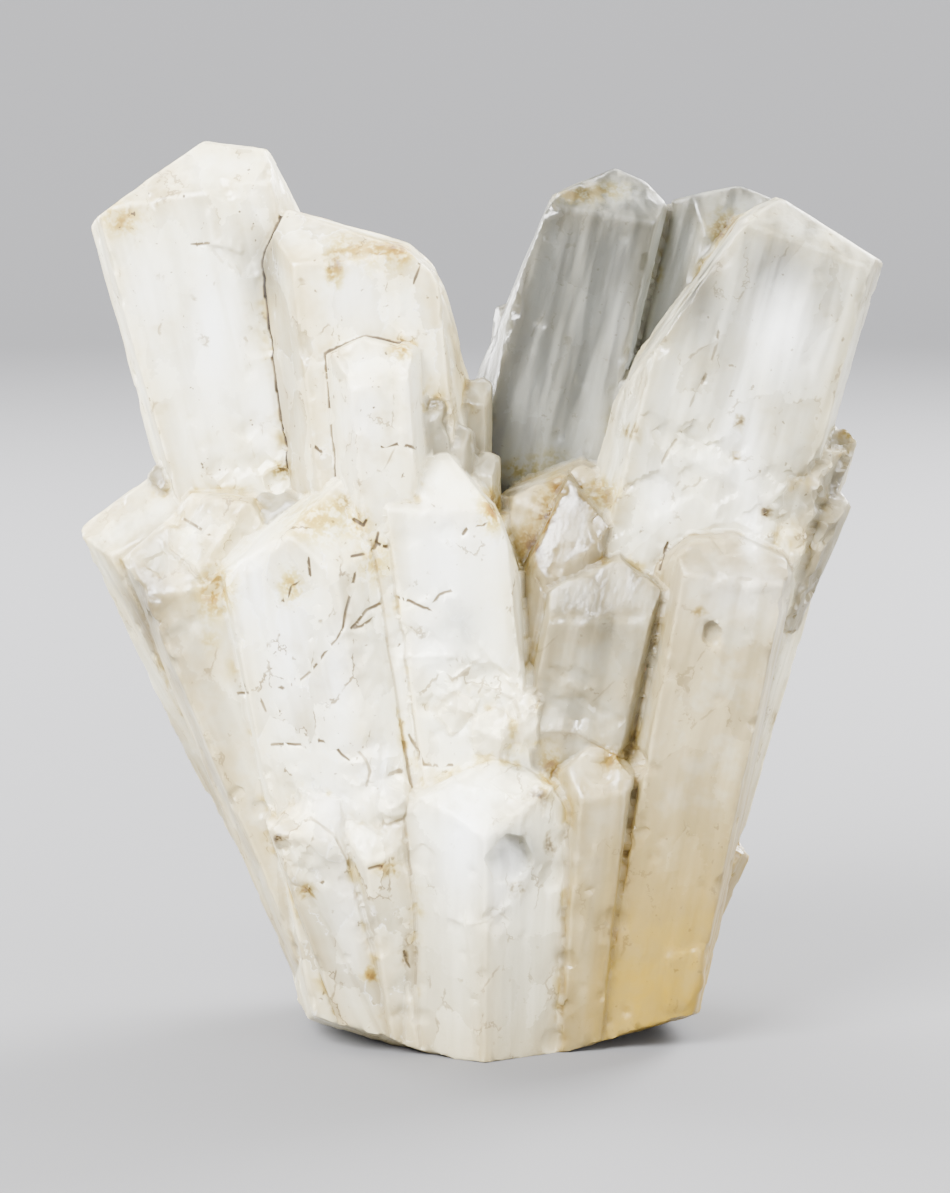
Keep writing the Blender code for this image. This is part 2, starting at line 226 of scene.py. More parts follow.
BACK_SPRAY = (
    Crystal("back_far_left", (-8, 8, 4), (-30, 21, 95), 21, 16,
            ((180, 24, 0, 0), (0, 20, 2, 0), (60, 50, 4, 2), (120, 45, 5, 2)), turn=12, flat=0.55),
    Crystal("back_low_left", (-7, 8, -4), (-31, 25, 56), 19, 17,
            ((180, 26, 0, 0), (30, 30, 2, 0), (90, 44, 5, 1)), turn=-8, flat=0.55),
    Crystal("back_middle", (-2, 9, -2), (-7, 23, 80), 20, 17,
            ((0, 28, 1, 0), (180, 30, 2, 0), (90, 46, 4, 1)), turn=6, flat=0.6),
    Crystal("back_inner_right", (3, 10, -4), (10, 27, 66), 18, 16,
            ((0, 27, 0, 0), (180, 33, 3, 0), (85, 52, 3, 0.5)), turn=-10, flat=0.5),
    Crystal("back_tall_right", (8, 7, 0), (30, 22, 85), 21, 17,
            ((0, 25, 2, 0), (180, 29, 1, 0), (95, 48, 5, 1.5)), turn=9, flat=0.6),
    Crystal("back_low_right", (10, 7, -4), (31, 19, 55), 17, 17,
            ((0, 30, 1, 0), (180, 24, 2, 0), (80, 46, 4, 1)), turn=-6, flat=0.55),
    Crystal("back_stub_left", (-6, 10, -8), (-16, 29, 42), 18, 16,
            ((180, 28, 1, 0), (0, 28, 2, 0), (90, 50, 4, 1)), turn=10, flat=0.5),
    Crystal("back_stub_right", (8, 10, -8), (20, 30, 38), 18, 16,
            ((0, 27, 1, 0), (180, 32, 2, 0), (95, 48, 4, 1)), turn=-9, flat=0.5),
    Crystal("back_stub_middle", (0, 10.5, -8), (2, 30.5, 30), 19, 15,
            ((0, 34, 2, 0), (180, 25, 1, 0), (90, 45, 4, 1)), turn=4, flat=0.55),
)

SMALL_ENDS = ((180, 27, 0, 0), (0, 30, 0, 0), (270, 48, 0.8, 0.4), (90, 45, 0.8, 0.4))

SMALL_CRYSTALS = (
    Crystal("sliver_high", (0.4, -2, 64), (0.4, -3, 83), 4, 7, SMALL_ENDS, turn=-8),
    Crystal("sliver_by_blade", (-3.4, -8, 62), (-5.6, -10.5, 81.5), 4.4, 6, SMALL_ENDS, turn=12),
    Crystal("sliver_by_plate", (-1, -7, 58), (-2.2, -9, 77.6), 4, 6, SMALL_ENDS, turn=-12),
    Crystal("sliver_in_cleft", (2.2, -5, 56), (1.4, -7, 74), 3.8, 6, SMALL_ENDS, turn=-10),
    Crystal("shoulder_lump", (-26, -5, 50), (-34.4, -8, 62.6), 9, 9, SMALL_ENDS, turn=-15),
    Crystal("shoulder_fill", (-18, -3, 50), (-27, -5.5, 68.8), 13, 11, SMALL_ENDS, turn=20),
    Crystal("shoulder_nub", (-34, 3, 60), (-40, 2, 71.6), 4, 6, SMALL_ENDS, turn=10),
    Crystal("scallop_left", (-8, -12, 26), (-11.6, -17, 35.5), 6.5, 7, SMALL_ENDS, turn=15),
    Crystal("chip_one", (-1.6, -9, 36), (-3, -15.4, 46.5), 8, 7, SMALL_ENDS, turn=25),
    Crystal("chip_two", (2.5, -10, 32), (2, -15.6, 44), 7, 6, SMALL_ENDS, turn=-12),
    Crystal("chip_three", (5.6, -10, 33), (6, -14.6, 45.5), 5, 6, SMALL_ENDS, turn=8),
    Crystal("step_plate", (-1.5, 8, 50), (5.3, 10.3, 91.6), 5.5, 8, SMALL_ENDS, turn=5),
    Crystal("flank_block", (12.6, -6, 60), (15.8, -9, 69.8), 5, 6, SMALL_ENDS, turn=-30),
    Crystal("edge_knob", (40, -2, 62), (46, -2.5, 76.4), 4.2, 9, SMALL_ENDS, turn=5),
    Crystal("edge_knob_low", (38, -4, 52), (45, -5, 69), 5, 9, SMALL_ENDS, turn=-15),
    Crystal("back_bud_left", (-16, 18, 50), (-20, 27, 66), 8, 8, SMALL_ENDS, turn=15),
    Crystal("back_bud_right", (17, 18, 46), (21, 27.5, 60), 8, 8, SMALL_ENDS, turn=-15),
    Crystal("back_bud_low", (-5, 22, 20), (-7, 33.5, 36), 7, 7, SMALL_ENDS, turn=28),
)

# Prisms sunk into the surface, each from outside to the bottom of a pit
PITS = (
    Crystal("rhomb_window", (9.5, -29, 27), (3.7, -19.2, 25.4), 8, 6.4, ((0, 0, 0, 0),), turn=8, flat=0.4),
    Crystal("face_pit_high", (31, -24, 84), (29.6, -11.4, 83), 3.4, 2.6, ((0, 0, 0, 0),), turn=20, flat=0.4),
    Crystal("face_pit_low", (29, -30, 52), (28.6, -16.4, 52.6), 3, 3.6, ((0, 0, 0, 0),), turn=-15, flat=0.4),
    Crystal("stain_hollow", (-24, -16, 67.5), (-24.4, -3, 70.4), 4, 3.4, ((0, 0, 0, 0),), turn=30, flat=0.4),
)


@dataclass
class Look:
    """How a crystal looks: each value runs from 0 to 1.

    clear is how far one sees into it, white how milky it is, warm how creamy, pitted how
    many dark specks its faces have, and cracked how many stained hairlines.
    """

    clear: float = 0.3
    white: float = 0.6
    warm: float = 0.4
    pitted: float = 0.3
    cracked: float = 0.2


LOOKS = {
    "far_left_tall": Look(0.06, 0.96, 0.4, 0.9, 0.35),
    "inner_tall": Look(0.04, 0.9, 0.6, 0.5, 0.5),
    "small_front_blade": Look(0.0, 0.94, 0.35, 0.9, 0.4),
    "low_left": Look(0.08, 0.85, 0.6, 0.2, 0.2),
    "front_left_broad": Look(0.0, 0.97, 0.3, 0.4, 0.7),
    "front_right_broad": Look(0.0, 1.0, 0.2, 0.3, 0.45),
    "front_stub": Look(0.0, 0.92, 0.12, 0.1, 0.3),
    "low_left_front": Look(0.0, 0.86, 0.3, 0.2, 0.5),
    "low_middle_front": Look(0.0, 0.88, 0.3, 0.2, 0.5),
    "left_flank": Look(0.04, 0.85, 0.6, 0.2, 0.3),
    "left_shoulder": Look(0.04, 0.9, 0.5, 0.3, 0.4),
    "clear_tall": Look(0.8, 0.86, 0.15, 0.2, 0.15),
    "clear_behind": Look(0.8, 0.9, 0.25, 0.2, 0.1),
    "tall_right": Look(0.14, 0.84, 0.35, 0.4, 0.3),
    "right_flank": Look(0.1, 0.75, 0.45, 0.5, 0.3),
    "round_ended": Look(0.1, 0.46, 0.9, 0.2, 0.2),
    "stained": Look(0.1, 0.4, 0.6, 0.2, 0.2),
    "pointed": Look(0.18, 0.15, 0.6, 0.1, 0.2),
    "grey_window": Look(0.3, 0.52, 0.6, 0.2, 0.15),
    "low_right_front": Look(0.1, 0.55, 0.55, 0.1, 0.15),
    "amber_foot": Look(0.12, 0.45, 0.9, 0.1, 0.0),
    "step_plate": Look(0.75, 0.5, 0.2, 0.1, 0.0),
    "chip_one": Look(0.0, 0.95, 0.2, 0.1, 0.3),
    "chip_two": Look(0.0, 0.95, 0.2, 0.1, 0.3),
    "chip_three": Look(0.0, 0.95, 0.2, 0.1, 0.3),
    "scallop_left": Look(0.0, 0.95, 0.2, 0.1, 0.3),
}


@dataclass
class Crack:
    """A line along the front, through points of the picture, in its pixels.

    Its width and depth are millimetres, and a depth below zero is a raised rib. dark says how
    much brown dirt lies in it. One that lies in a seam keeps to the seam between the crystals.
    """

    points: tuple
    width: float = 0.3
    depth: float = 0.22
    dark: float = 0.8
    in_seam: bool = False


CRACKS = (
    Crack(((299, 212), (280, 222), (269, 234), (268, 264), (271, 302), (277, 347), (280, 366), (282, 398),
           (287, 443), (285, 471)), 0.3, 0.3, 1.0, True),
    Crack(((398, 334), (358, 333), (325, 352), (324, 395), (327, 427), (331, 468)), 0.28, 0.25, 0.75, True),
    Crack(((191, 245), (201, 244), (209, 243)), 0.26, 0.2, 0.7),
    Crack(((210, 243), (226, 245), (240, 251)), 0.4, -0.3, 0.0),
    Crack(((234, 267), (240, 277), (248, 280), (257, 277)), 0.35, -0.22, 0.0),
    Crack(((395, 280), (400, 310), (404, 337)), 0.4, -0.3, 0.0),
    Crack(((420, 261), (418, 270), (414, 283)), 0.3, 0.25, 0.7),
    Crack(((309, 446), (315, 447), (321, 452)), 0.3, 0.2, 0.8),
    Crack(((382, 447), (398, 444), (417, 448)), 0.3, 0.25, 0.8),
    Crack(((184, 519), (196, 526), (210, 535)), 0.28, 0.15, 0.5),
    Crack(((491, 524), (469, 526), (463, 534)), 0.3, 0.2, 0.9),
    Crack(((354, 519), (363, 526), (366, 521)), 0.3, 0.2, 0.8),
    Crack(((378, 533), (376, 543), (382, 546), (387, 547)), 0.3, 0.2, 0.9),
    Crack(((373, 550), (376, 545)), 0.3, 0.2, 0.8),
    Crack(((352, 556), (364, 554)), 0.3, 0.2, 0.8),
    Crack(((356, 573), (353, 586), (350, 598), (346, 612), (343, 628)), 0.28, 0.2, 0.75),
    Crack(((380, 604), (367, 610), (358, 622), (352, 628)), 0.28, 0.2, 0.75),
    Crack(((374, 618), (362, 626), (355, 628)), 0.26, 0.2, 0.6),
    Crack(((308, 558), (310, 576), (302, 582), (291, 587), (287, 597), (280, 604)), 0.28, 0.2, 0.75),
    Crack(((343, 628), (336, 640), (328, 648), (318, 662), (310, 672), (299, 681), (291, 685), (278, 689)),
          0.24, 0.18, 0.6),
    Crack(((234, 694), (246, 693), (256, 693), (262, 703), (265, 711)), 0.26, 0.18, 0.6),
    Crack(((285, 705), (281, 711), (276, 713)), 0.26, 0.18, 0.7),
    Crack(((271, 745), (289, 744), (306, 745), (319, 741), (332, 743), (341, 754), (349, 760)),
          0.26, 0.2, 0.7),
    Crack(((380, 543), (385, 576), (393, 617), (398, 650), (402, 687), (406, 732), (417, 746)),
          0.26, 0.15, 0.15, True),
    Crack(((398, 598), (410, 601), (424, 608), (433, 610)), 0.28, 0.2, 0.7),
    Crack(((433, 604), (439, 595), (446, 592), (452, 591)), 0.26, 0.2, 0.5),
    Crack(((402, 658), (428, 656), (454, 656), (463, 665), (461, 684), (445, 698)), 0.34, -0.2, 0.0),
    Crack(((472, 684), (495, 691), (513, 698), (518, 708), (519, 717)), 0.36, -0.25, 0.1),
    Crack(((409, 735), (417, 750), (424, 765), (438, 766), (452, 765)), 0.28, 0.2, 0.5),
    Crack(((358, 752), (366, 760), (370, 772), (366, 788)), 0.3, 0.25, 0.3),
    Crack(((402, 755), (404, 776), (398, 788), (393, 800)), 0.3, 0.2, 0.4, True),
    Crack(((393, 815), (417, 811), (435, 799), (452, 785), (454, 765)), 0.32, -0.2, 0.0),
    Crack(((452, 785), (480, 789), (513, 796), (533, 806), (550, 820), (569, 835)), 0.32, -0.22, 0.0),
    Crack(((393, 796), (394, 820), (399, 845), (402, 865), (398, 898), (402, 943), (417, 972)),
          0.26, 0.15, 0.2, True),
    Crack(((404, 951), (406, 961), (410, 967)), 0.26, 0.2, 0.8),
    Crack(((435, 911), (452, 918), (469, 924), (487, 920), (505, 907), (520, 895)), 0.4, -0.2, 0.0),
    Crack(((471, 924), (473, 960), (475, 1000), (476, 1030)), 0.6, -0.35, 0.0),
    Crack(((310, 817), (335, 835), (343, 850), (350, 865)), 0.3, 0.25, 0.2),
    Crack(((310, 889), (318, 887), (323, 882)), 0.26, 0.2, 0.7),
    Crack(((369, 869), (380, 866), (392, 870)), 0.28, 0.22, 0.8),
    Crack(((302, 887), (328, 930), (352, 976), (380, 1035)), 0.5, 0.22, 0.05),
    Crack(((343, 898), (352, 922), (365, 946)), 0.4, -0.2, 0.0),
    Crack(((674, 545), (667, 556), (662, 567), (656, 606), (642, 661), (626, 733)), 0.28, 0.2, 0.1, True),
    Crack(((668, 543), (662, 556), (659, 569)), 0.26, 0.2, 0.7),
    Crack(((691, 533), (713, 523), (737, 521), (760, 533), (780, 545), (796, 555)), 0.32, -0.2, 0.0),
    Crack(((543, 731), (561, 731), (579, 733), (600, 745), (618, 756), (638, 754)), 0.4, -0.3, 0.1),
    Crack(((720, 325), (716, 345), (712, 362), (704, 379), (696, 395), (689, 407)), 0.28, 0.22, 0.3),
    Crack(((622, 363), (634, 353), (647, 344)), 0.3, -0.2, 0.0),
    Crack(((661, 465), (669, 450), (676, 440)), 0.28, 0.22, 0.3),
    Crack(((579, 958), (588, 900), (596, 850)), 0.5, -0.2, 0.0),
    Crack(((446, 598), (465, 598), (470, 618), (476, 639), (498, 665)), 0.32, -0.18, 0.0),
    Crack(((431, 402), (440, 402), (444, 408)), 0.4, -0.25, 0.1),
    Crack(((232, 268), (222, 262), (214, 251)), 0.3, 0.15, 0.1),
)


@dataclass
class Plate:
    """A flat patch of the front, lifted or sunk by so many millimetres, with its corners in the picture."""

    corners: tuple
    lift: float


PLATES = (
    Plate(((579, 487), (598, 478), (614, 487), (612, 507), (602, 513)), -0.3),
    Plate(((390, 366), (402, 368), (404, 433), (391, 428)), -0.3),
    Plate(((398, 333), (412, 331), (424, 345), (412, 351), (400, 350)), 0.35),
    Plate(((213, 246), (240, 252), (262, 262), (256, 278), (240, 270)), -0.22),
    Plate(((446, 692), (456, 685), (470, 684), (480, 697), (474, 714), (452, 716)), 0.4),
    Plate(((489, 750), (520, 762), (554, 788), (545, 800), (515, 784)), 0.35),
    Plate(((284, 787), (296, 790), (301, 835), (291, 830)), -0.35),
    Plate(((300, 800), (333, 826), (350, 862), (330, 864), (302, 838)), 0.35),
    Plate(((358, 752), (378, 745), (386, 768), (366, 788)), 0.35),
    Plate(((386, 753), (402, 756), (404, 776), (392, 795), (380, 782)), 0.3),
    Plate(((446, 598), (466, 598), (478, 640), (500, 665), (470, 655), (452, 630)), -0.25),
    Plate(((670, 449), (700, 440), (715, 470), (690, 500), (668, 480)), -0.3),
    Plate(((788, 480), (812, 468), (824, 486), (815, 515), (790, 512)), -0.45),
    Plate(((800, 555), (811, 560), (812, 580), (804, 588), (797, 572)), -0.3),
    Plate(((666, 955), (700, 948), (704, 985), (684, 1012), (664, 1010)), 0.3),
    Plate(((608, 745), (636, 756), (632, 790), (617, 784)), 0.3),
    Plate(((500, 668), (519, 690), (526, 720), (512, 724), (500, 700)), -0.3),
    Plate(((420, 668), (440, 664), (446, 686), (430, 704), (416, 690)), -0.25),
)


@dataclass
class Fracture:
    """A stretch of the front broken into cleavage steps: its middle in the picture, its reach,
    how many steps it has, and how large and deep they are in millimetres."""

    px: float
    py: float
    reach: float
    steps: int
    size: float = 1.8
    depth: float = 0.4


FRACTURES = (
    Fracture(485, 700, 5.0, 16, 2.0, 0.25),
    Fracture(440, 660, 4.0, 6, 2.2, 0.17),
    Fracture(372, 770, 4.5, 10, 1.8, 0.19),
    Fracture(525, 790, 3.5, 5, 1.7, 0.17),
    Fracture(310, 830, 6.5, 13, 2.4, 0.19),
    Fracture(250, 465, 4.5, 11, 1.9, 0.25),
    Fracture(200, 545, 6.5, 16, 2.4, 0.22),
    Fracture(165, 610, 5.0, 5, 2.6, 0.17),
    Fracture(805, 500, 5.5, 18, 1.9, 0.28),
    Fracture(808, 575, 4.0, 8, 1.6, 0.22),
    Fracture(690, 455, 5.5, 10, 2.6, 0.22),
    Fracture(622, 768, 3.5, 7, 1.6, 0.22),
    Fracture(590, 690, 4.0, 5, 2.4, 0.17),
    Fracture(437, 415, 2.5, 5, 1.4, 0.19),
    Fracture(843, 450, 3.0, 7, 1.4, 0.22),
    Fracture(760, 570, 6.0, 6, 2.9, 0.11),
    Fracture(560, 700, 4.0, 5, 2.2, 0.17),
    Fracture(340, 640, 7.0, 5, 2.9, 0.09),
    Fracture(430, 560, 6.0, 4, 2.6, 0.09),
)


@dataclass
class Spot:
    """A soft-edged place on the front: where its middle shows in the picture, in its pixels, and
    its reach across and down in millimetres."""

    px: float
    py: float
    across: float
    down: float


@dataclass
class Stain(Spot):
    """A golden spot and how strong it is. dark turns it from gold to blackish brown."""

    strength: float
    dark: float = 0.0


STAINS = (
    Stain(121, 219, 2.0, 1.6, 0.5),
    Stain(335, 265, 0.85, 1.9, 1.0, 0.1),
    Stain(352, 247, 2.4, 1.6, 0.45),
    Stain(378, 250, 2.4, 1.6, 0.5),
    Stain(398, 248, 1.6, 1.8, 0.75),
    Stain(282, 470, 1.0, 0.85, 1.0, 0.35),
    Stain(401, 350, 1.2, 0.9, 0.7),
    Stain(580, 194, 2.8, 1.0, 0.6),
    Stain(604, 190, 2.6, 0.9, 0.5),
    Stain(728, 230, 1.9, 1.7, 0.9),
    Stain(493, 508, 1.2, 2.2, 0.95),
    Stain(556, 490, 1.0, 2.2, 0.7),
    Stain(546, 518, 1.5, 2.4, 0.9),
    Stain(531, 547, 1.6, 2.2, 0.8),
    Stain(525, 470, 2.2, 1.0, 0.4),
    Stain(545, 460, 2.2, 0.9, 0.3),
    Stain(215, 592, 1.9, 2.8, 0.6),
    Stain(320, 520, 3.6, 2.4, 0.4),
    Stain(336, 507, 1.6, 1.2, 0.4),
    Stain(291, 586, 1.3, 1.6, 0.6),
    Stain(345, 502, 0.6, 0.9, 0.8, 0.3),
    Stain(358, 524, 1.4, 1.6, 0.5),
    Stain(374, 560, 2.0, 2.8, 0.3),
    Stain(550, 770, 1.1, 2.2, 0.8),
    Stain(387, 869, 1.2, 0.6, 0.95, 0.2),
    Stain(306, 890, 0.8, 0.6, 0.8, 0.3),
    Stain(371, 976, 0.8, 0.7, 0.8),
    Stain(278, 838, 0.5, 0.4, 1.0, 0.9),
    Stain(405, 957, 0.3, 0.7, 0.9, 0.7),
    Stain(631, 432, 0.8, 0.5, 0.9, 0.5),
    Stain(765, 512, 0.5, 0.6, 0.9, 0.8),
    Stain(740, 422, 0.5, 0.3, 0.8, 0.7),
    Stain(736, 455, 0.35, 0.7, 0.6, 0.6),
    Stain(615, 760, 1.4, 1.0, 0.55),
    Stain(600, 495, 2.0, 1.8, 0.5),
    Stain(539, 796, 0.9, 0.8, 0.6, 0.9),
    Stain(517, 888, 0.9, 0.5, 0.6, 0.9),
    Stain(549, 845, 0.4, 0.8, 0.8, 0.9),
    Stain(210, 640, 1.2, 1.2, 0.2),
    Stain(238, 492, 1.6, 0.8, 0.3),
    Stain(844, 434, 1.0, 0.8, 0.5),
    Stain(775, 720, 0.5, 0.9, 0.5, 0.4),
    Stain(698, 612, 0.6, 0.4, 0.5, 0.3),
)


@dataclass
class Glaze(Spot):
    """A window that is clearer than the rest, and how clear it is."""

    clear: float


GLAZES = (
    Glaze(513, 857, 3.6, 3.0, 0.45),
    Glaze(700, 290, 3.0, 7.0, 0.4),
    Glaze(775, 265, 4.5, 4.5, 0.35),
    Glaze(262, 270, 2.4, 6.0, 0.25),
    Glaze(460, 625, 3.0, 4.0, 0.3),
    Glaze(805, 495, 2.4, 3.5, 0.3),
    Glaze(600, 620, 5.0, 6.0, 0.12),
    Glaze(145, 590, 3.0, 6.0, 0.2),
    Glaze(520, 765, 3.0, 1.5, 0.3),
)


@dataclass
class Glow(Spot):
    """A place with painted glow, brighter than the rest, or with painted shade, duller, where the amount is
    below zero.
    """

    amount: float


# Painted glow on the brightest places of the front, and painted shade on the dimmest where the amount is
# below zero
PAINTED_GLOWS = (
    Glow(215, 330, 3.2, 9.0, 1.0),
    Glow(150, 290, 2.8, 5.0, 0.5),
    Glow(262, 410, 2.0, 6.0, 0.6),
    Glow(266, 262, 2.0, 5.5, -0.7),
    Glow(286, 400, 1.4, 9.0, -0.7),
    Glow(350, 292, 4.0, 4.5, 0.5),
    Glow(362, 420, 2.2, 6.0, 0.6),
    Glow(412, 380, 1.6, 9.0, 0.35),
    Glow(290, 640, 2.8, 8.0, 1.0),
    Glow(252, 590, 2.8, 5.0, 0.8),
    Glow(335, 690, 2.4, 8.0, 0.8),
    Glow(150, 605, 3.0, 7.0, -1.0),
    Glow(190, 645, 4.0, 8.0, -0.55),
    Glow(215, 780, 3.5, 12.0, -0.4),
    Glow(445, 560, 4.2, 7.0, 0.8),
    Glow(430, 645, 3.5, 5.0, 0.5),
    Glow(492, 530, 2.2, 5.0, 0.7),
    Glow(510, 640, 1.6, 8.0, -0.35),
    Glow(375, 768, 2.6, 3.6, 0.7),
    Glow(300, 735, 5.0, 3.0, -0.25),
    Glow(462, 835, 3.2, 7.0, 1.0),
    Glow(505, 880, 2.4, 5.0, 0.6),
    Glow(332, 800, 3.2, 5.0, 0.5),
    Glow(350, 900, 2.4, 9.0, 0.35),
    Glow(330, 985, 8.0, 5.0, -0.45),
    Glow(400, 930, 1.8, 10.0, -0.4),
    Glow(480, 1020, 7.0, 3.5, -0.3),
    Glow(780, 330, 4.5, 6.0, 0.9),
    Glow(740, 440, 2.4, 9.0, 0.7),
    Glow(752, 525, 1.4, 5.0, 0.7),
    Glow(663, 500, 2.2, 3.0, 0.5),
    Glow(700, 292, 2.4, 6.0, -0.7),
    Glow(790, 275, 3.2, 2.6, -0.6),
    Glow(826, 500, 3.0, 6.0, -0.45),
    Glow(814, 590, 2.4, 7.0, -0.3),
    Glow(622, 340, 1.5, 9.0, 0.22),
    Glow(598, 430, 1.2, 6.0, 0.1),
    Glow(524, 420, 1.0, 12.0, 0.08),
    Glow(560, 330, 2.6, 10.0, -0.2),
    Glow(521, 320, 1.1, 10.0, -0.5),
    Glow(577, 508, 1.6, 3.5, -0.5),
    Glow(600, 620, 4.0, 6.0, -0.25),
    Glow(565, 700, 3.0, 8.0, -0.2),
    Glow(745, 590, 6.0, 4.0, 0.3),
)


# How the skin is laid on the crystals' faces, in millimetres: how rounded an edge is, how far from
# a crystal its faces still count, how often points are moved on to them and how far at once
EDGE_SOFTNESS = 0.12
REACH = 3.0
SETTLING_ROUNDS = 3
LONGEST_STEP = 0.8

# Two faces that part at less than this count as parting at this, when a seam is measured
LEAST_SPREAD = 0.08

# The skin's triangles before the cracks, the band along a crack that is then divided, how often,
# and the shortest edge that still is, in millimetres
TRIANGLES_BEFORE_CRACKS = 158000
CRACK_BAND = 0.7
CRACK_ROUNDS = 2
SHORTEST_CRACK_EDGE = 0.22

# How far from its drawn line a crack still finds its seam, and how far in front of or behind what
# shows in the picture a mark still reaches, in millimetres; and the farthest dirt, in crack widths
SEAM_REACH = 1.8
DEEPEST_MARK = 9.0
FARTHEST_DIRT = 4.0

# A point takes a mark from the picture only where it faces the camera by more than this
LEAST_FRONTING = 0.1

# Edges sharper than this, in degrees, are drawn sharp
SHARP_ANGLE = 38.0

# The numbers that every point of the mesh carries for the material. The first come from its crystal
LOOK_VALUES = ("clear", "white", "warm", "pitted", "cracked")
SURFACE_VALUES = (
    *LOOK_VALUES, "painted_glow", "dull", "stain", "dark", "amber", "dirt", "away", "seam", "edge", "tone",
)

# Chips along the crystals' edges, pits in their faces, and steps along edges all over the cluster:
# how many, and the least and most of their radius or size and of their depth, in millimetres
EDGE_CHIPS = 800
CHIP_RADII = (0.9, 3.2)
CHIP_DEPTHS = (0.07, 0.3)
FACE_PITS = 380
PIT_RADII = (0.5, 1.3)
PIT_DEPTHS = (0.12, 0.35)
STRAY_STEPS = 130
STEP_SIZES = (0.8, 2.6)
STEP_DEPTHS = (0.1, 0.28)

# How near an edge a chip or a step is, and how far off an edge a pit is, in millimetres
EDGE_REACH = 0.35
PIT_MARGIN = 1.0

# How far a chip pushes a point, against its depth; how far a step leans from the face to the
# cleavage; how alike a point's outward direction is, for a step to reach it; and the share of the
# steps in a fractured stretch that have a scoop beside them
DEEPEST_PUSH = 1.4
STEP_LEANS = (0.25, 0.9)
LEAST_ALIKE = 0.2
SHARE_WITH_SCOOP = 0.4

# How soft a plate's border is: from so far outside its outline to so far inside, in millimetres
PLATE_BORDER = (-0.15, 0.25)

# Where the random draws start, for the carving and for the faces' shades
CHANCE_SEED = 11
FACE_SEED = 400

# A crystal's own noise is this much further along than that of the crystal before it
GRAIN_SHIFT = 37.0

# The three ways that calcite breaks: how far they lean from the crystal's axis, the sides that they
# lean to, and how much these turn from one crystal to the next, in degrees
CLEAVAGE_SLANT = 45
CLEAVAGE_SIDES = (10, 130, 250)
CLEAVAGE_TURN = 23


@dataclass
class Lumps:
    """Smooth unevenness: how high it is, how large its lumps are along the three directions, in
    millimetres, and a shift that sets it apart from the others."""

    height: float
    sizes: tuple
    shift: float = 0.0

    def noise_at(self, points):
        """Noise from about -1 to 1 at each point."""
        places = points / np.array(self.sizes) + self.shift
        return np.array([noise.noise(place) for place in places.tolist()])


# Growth and wear: swell, ripple and grit run through everything, ribs follow the crystals, and the
# last two roughen what is broken, where the swell and the ripple keep this share
SWELL = Lumps(0.1, (9, 9, 9))
RIPPLE = Lumps(0.05, (3.2, 3.2, 3.2), 7.3)
RIBS = Lumps(0.06, (1.25, 1.25, 38), 1.7)
GRIT = Lumps(0.025, (1.1, 1.1, 1.1), 5.9)
BROKEN_LUMPS = Lumps(0.3, (3.6, 3.6, 2.4), 4.4)
BROKEN_GRIT = Lumps(0.12, (1.3, 1.3, 1.3), 8.8)
WAVES_ON_BREAKS = 0.5

# Growth steps: their height, how many levels there are each way, the part of a level that a riser
# takes up, how far all are lowered to lie about the crystal's face, and their share on its end
STEP_LEVELS = Lumps(0.085, (4.2, 4.2, 17), 3.1)
LEVELS_EACH_WAY = 3.5
RISER = (0.36, 0.64)
STEPS_LOWERED = 0.3
STEPS_ON_ENDS = 0.4

# Grooves along the seams: how much deeper they are in some places than in others, where they
# deepen in the noise, how deep they are at least, and how wide
GROOVES = Lumps(0.2, (7, 7, 7), 2.3)
GROOVES_DEEPEN = (-0.3, 0.4)
SHALLOWEST_GROOVE = 0.08
GROOVE_WIDTH = 0.36

# How much more of the dirt lies in patches of the cracks, where they thicken in the noise, and how
# much lies everywhere in the cracks
DIRT_PATCHES = Lumps(0.38, (2.2, 2.2, 2.2), 6.1)
DIRT_THICKENS = (-0.35, 0.25)
LEAST_DIRT = 0.62

# One crystal gets clearer towards its end: the heights between which it does, and by how much
CLEARING_CRYSTAL = "tall_right"
CLEARING_HEIGHTS = (62, 100)
CLEARING = 0.2

# Heights between which the lowest parts get duller, and by how much
DULL_HEIGHTS = (42, 4)
LOW_DULLNESS = 0.55

# The amber foot: the heights and the places from left to right between which it comes in, and the
# fainter rim all round, just above where the cluster rests
AMBER_HEIGHTS = (44, 3)
AMBER_SIDES = (6, 20)
AMBER_RIM_HEIGHTS = (9, 0)
AMBER_RIM = 0.35

# How wide the strip along a seam is that gets painted shade and stains, in millimetres
SEAM_STRIP = 0.6

# The relief that is left to the material, in millimetres; how much further red and green light
# spread below the surface than blue; and the clearness that isn't enough to see through
FINEST_RELIEF = 0.12
GLOW_SPREAD = (1.0, 0.9, 0.78)
LEAST_CLEAR = 0.09


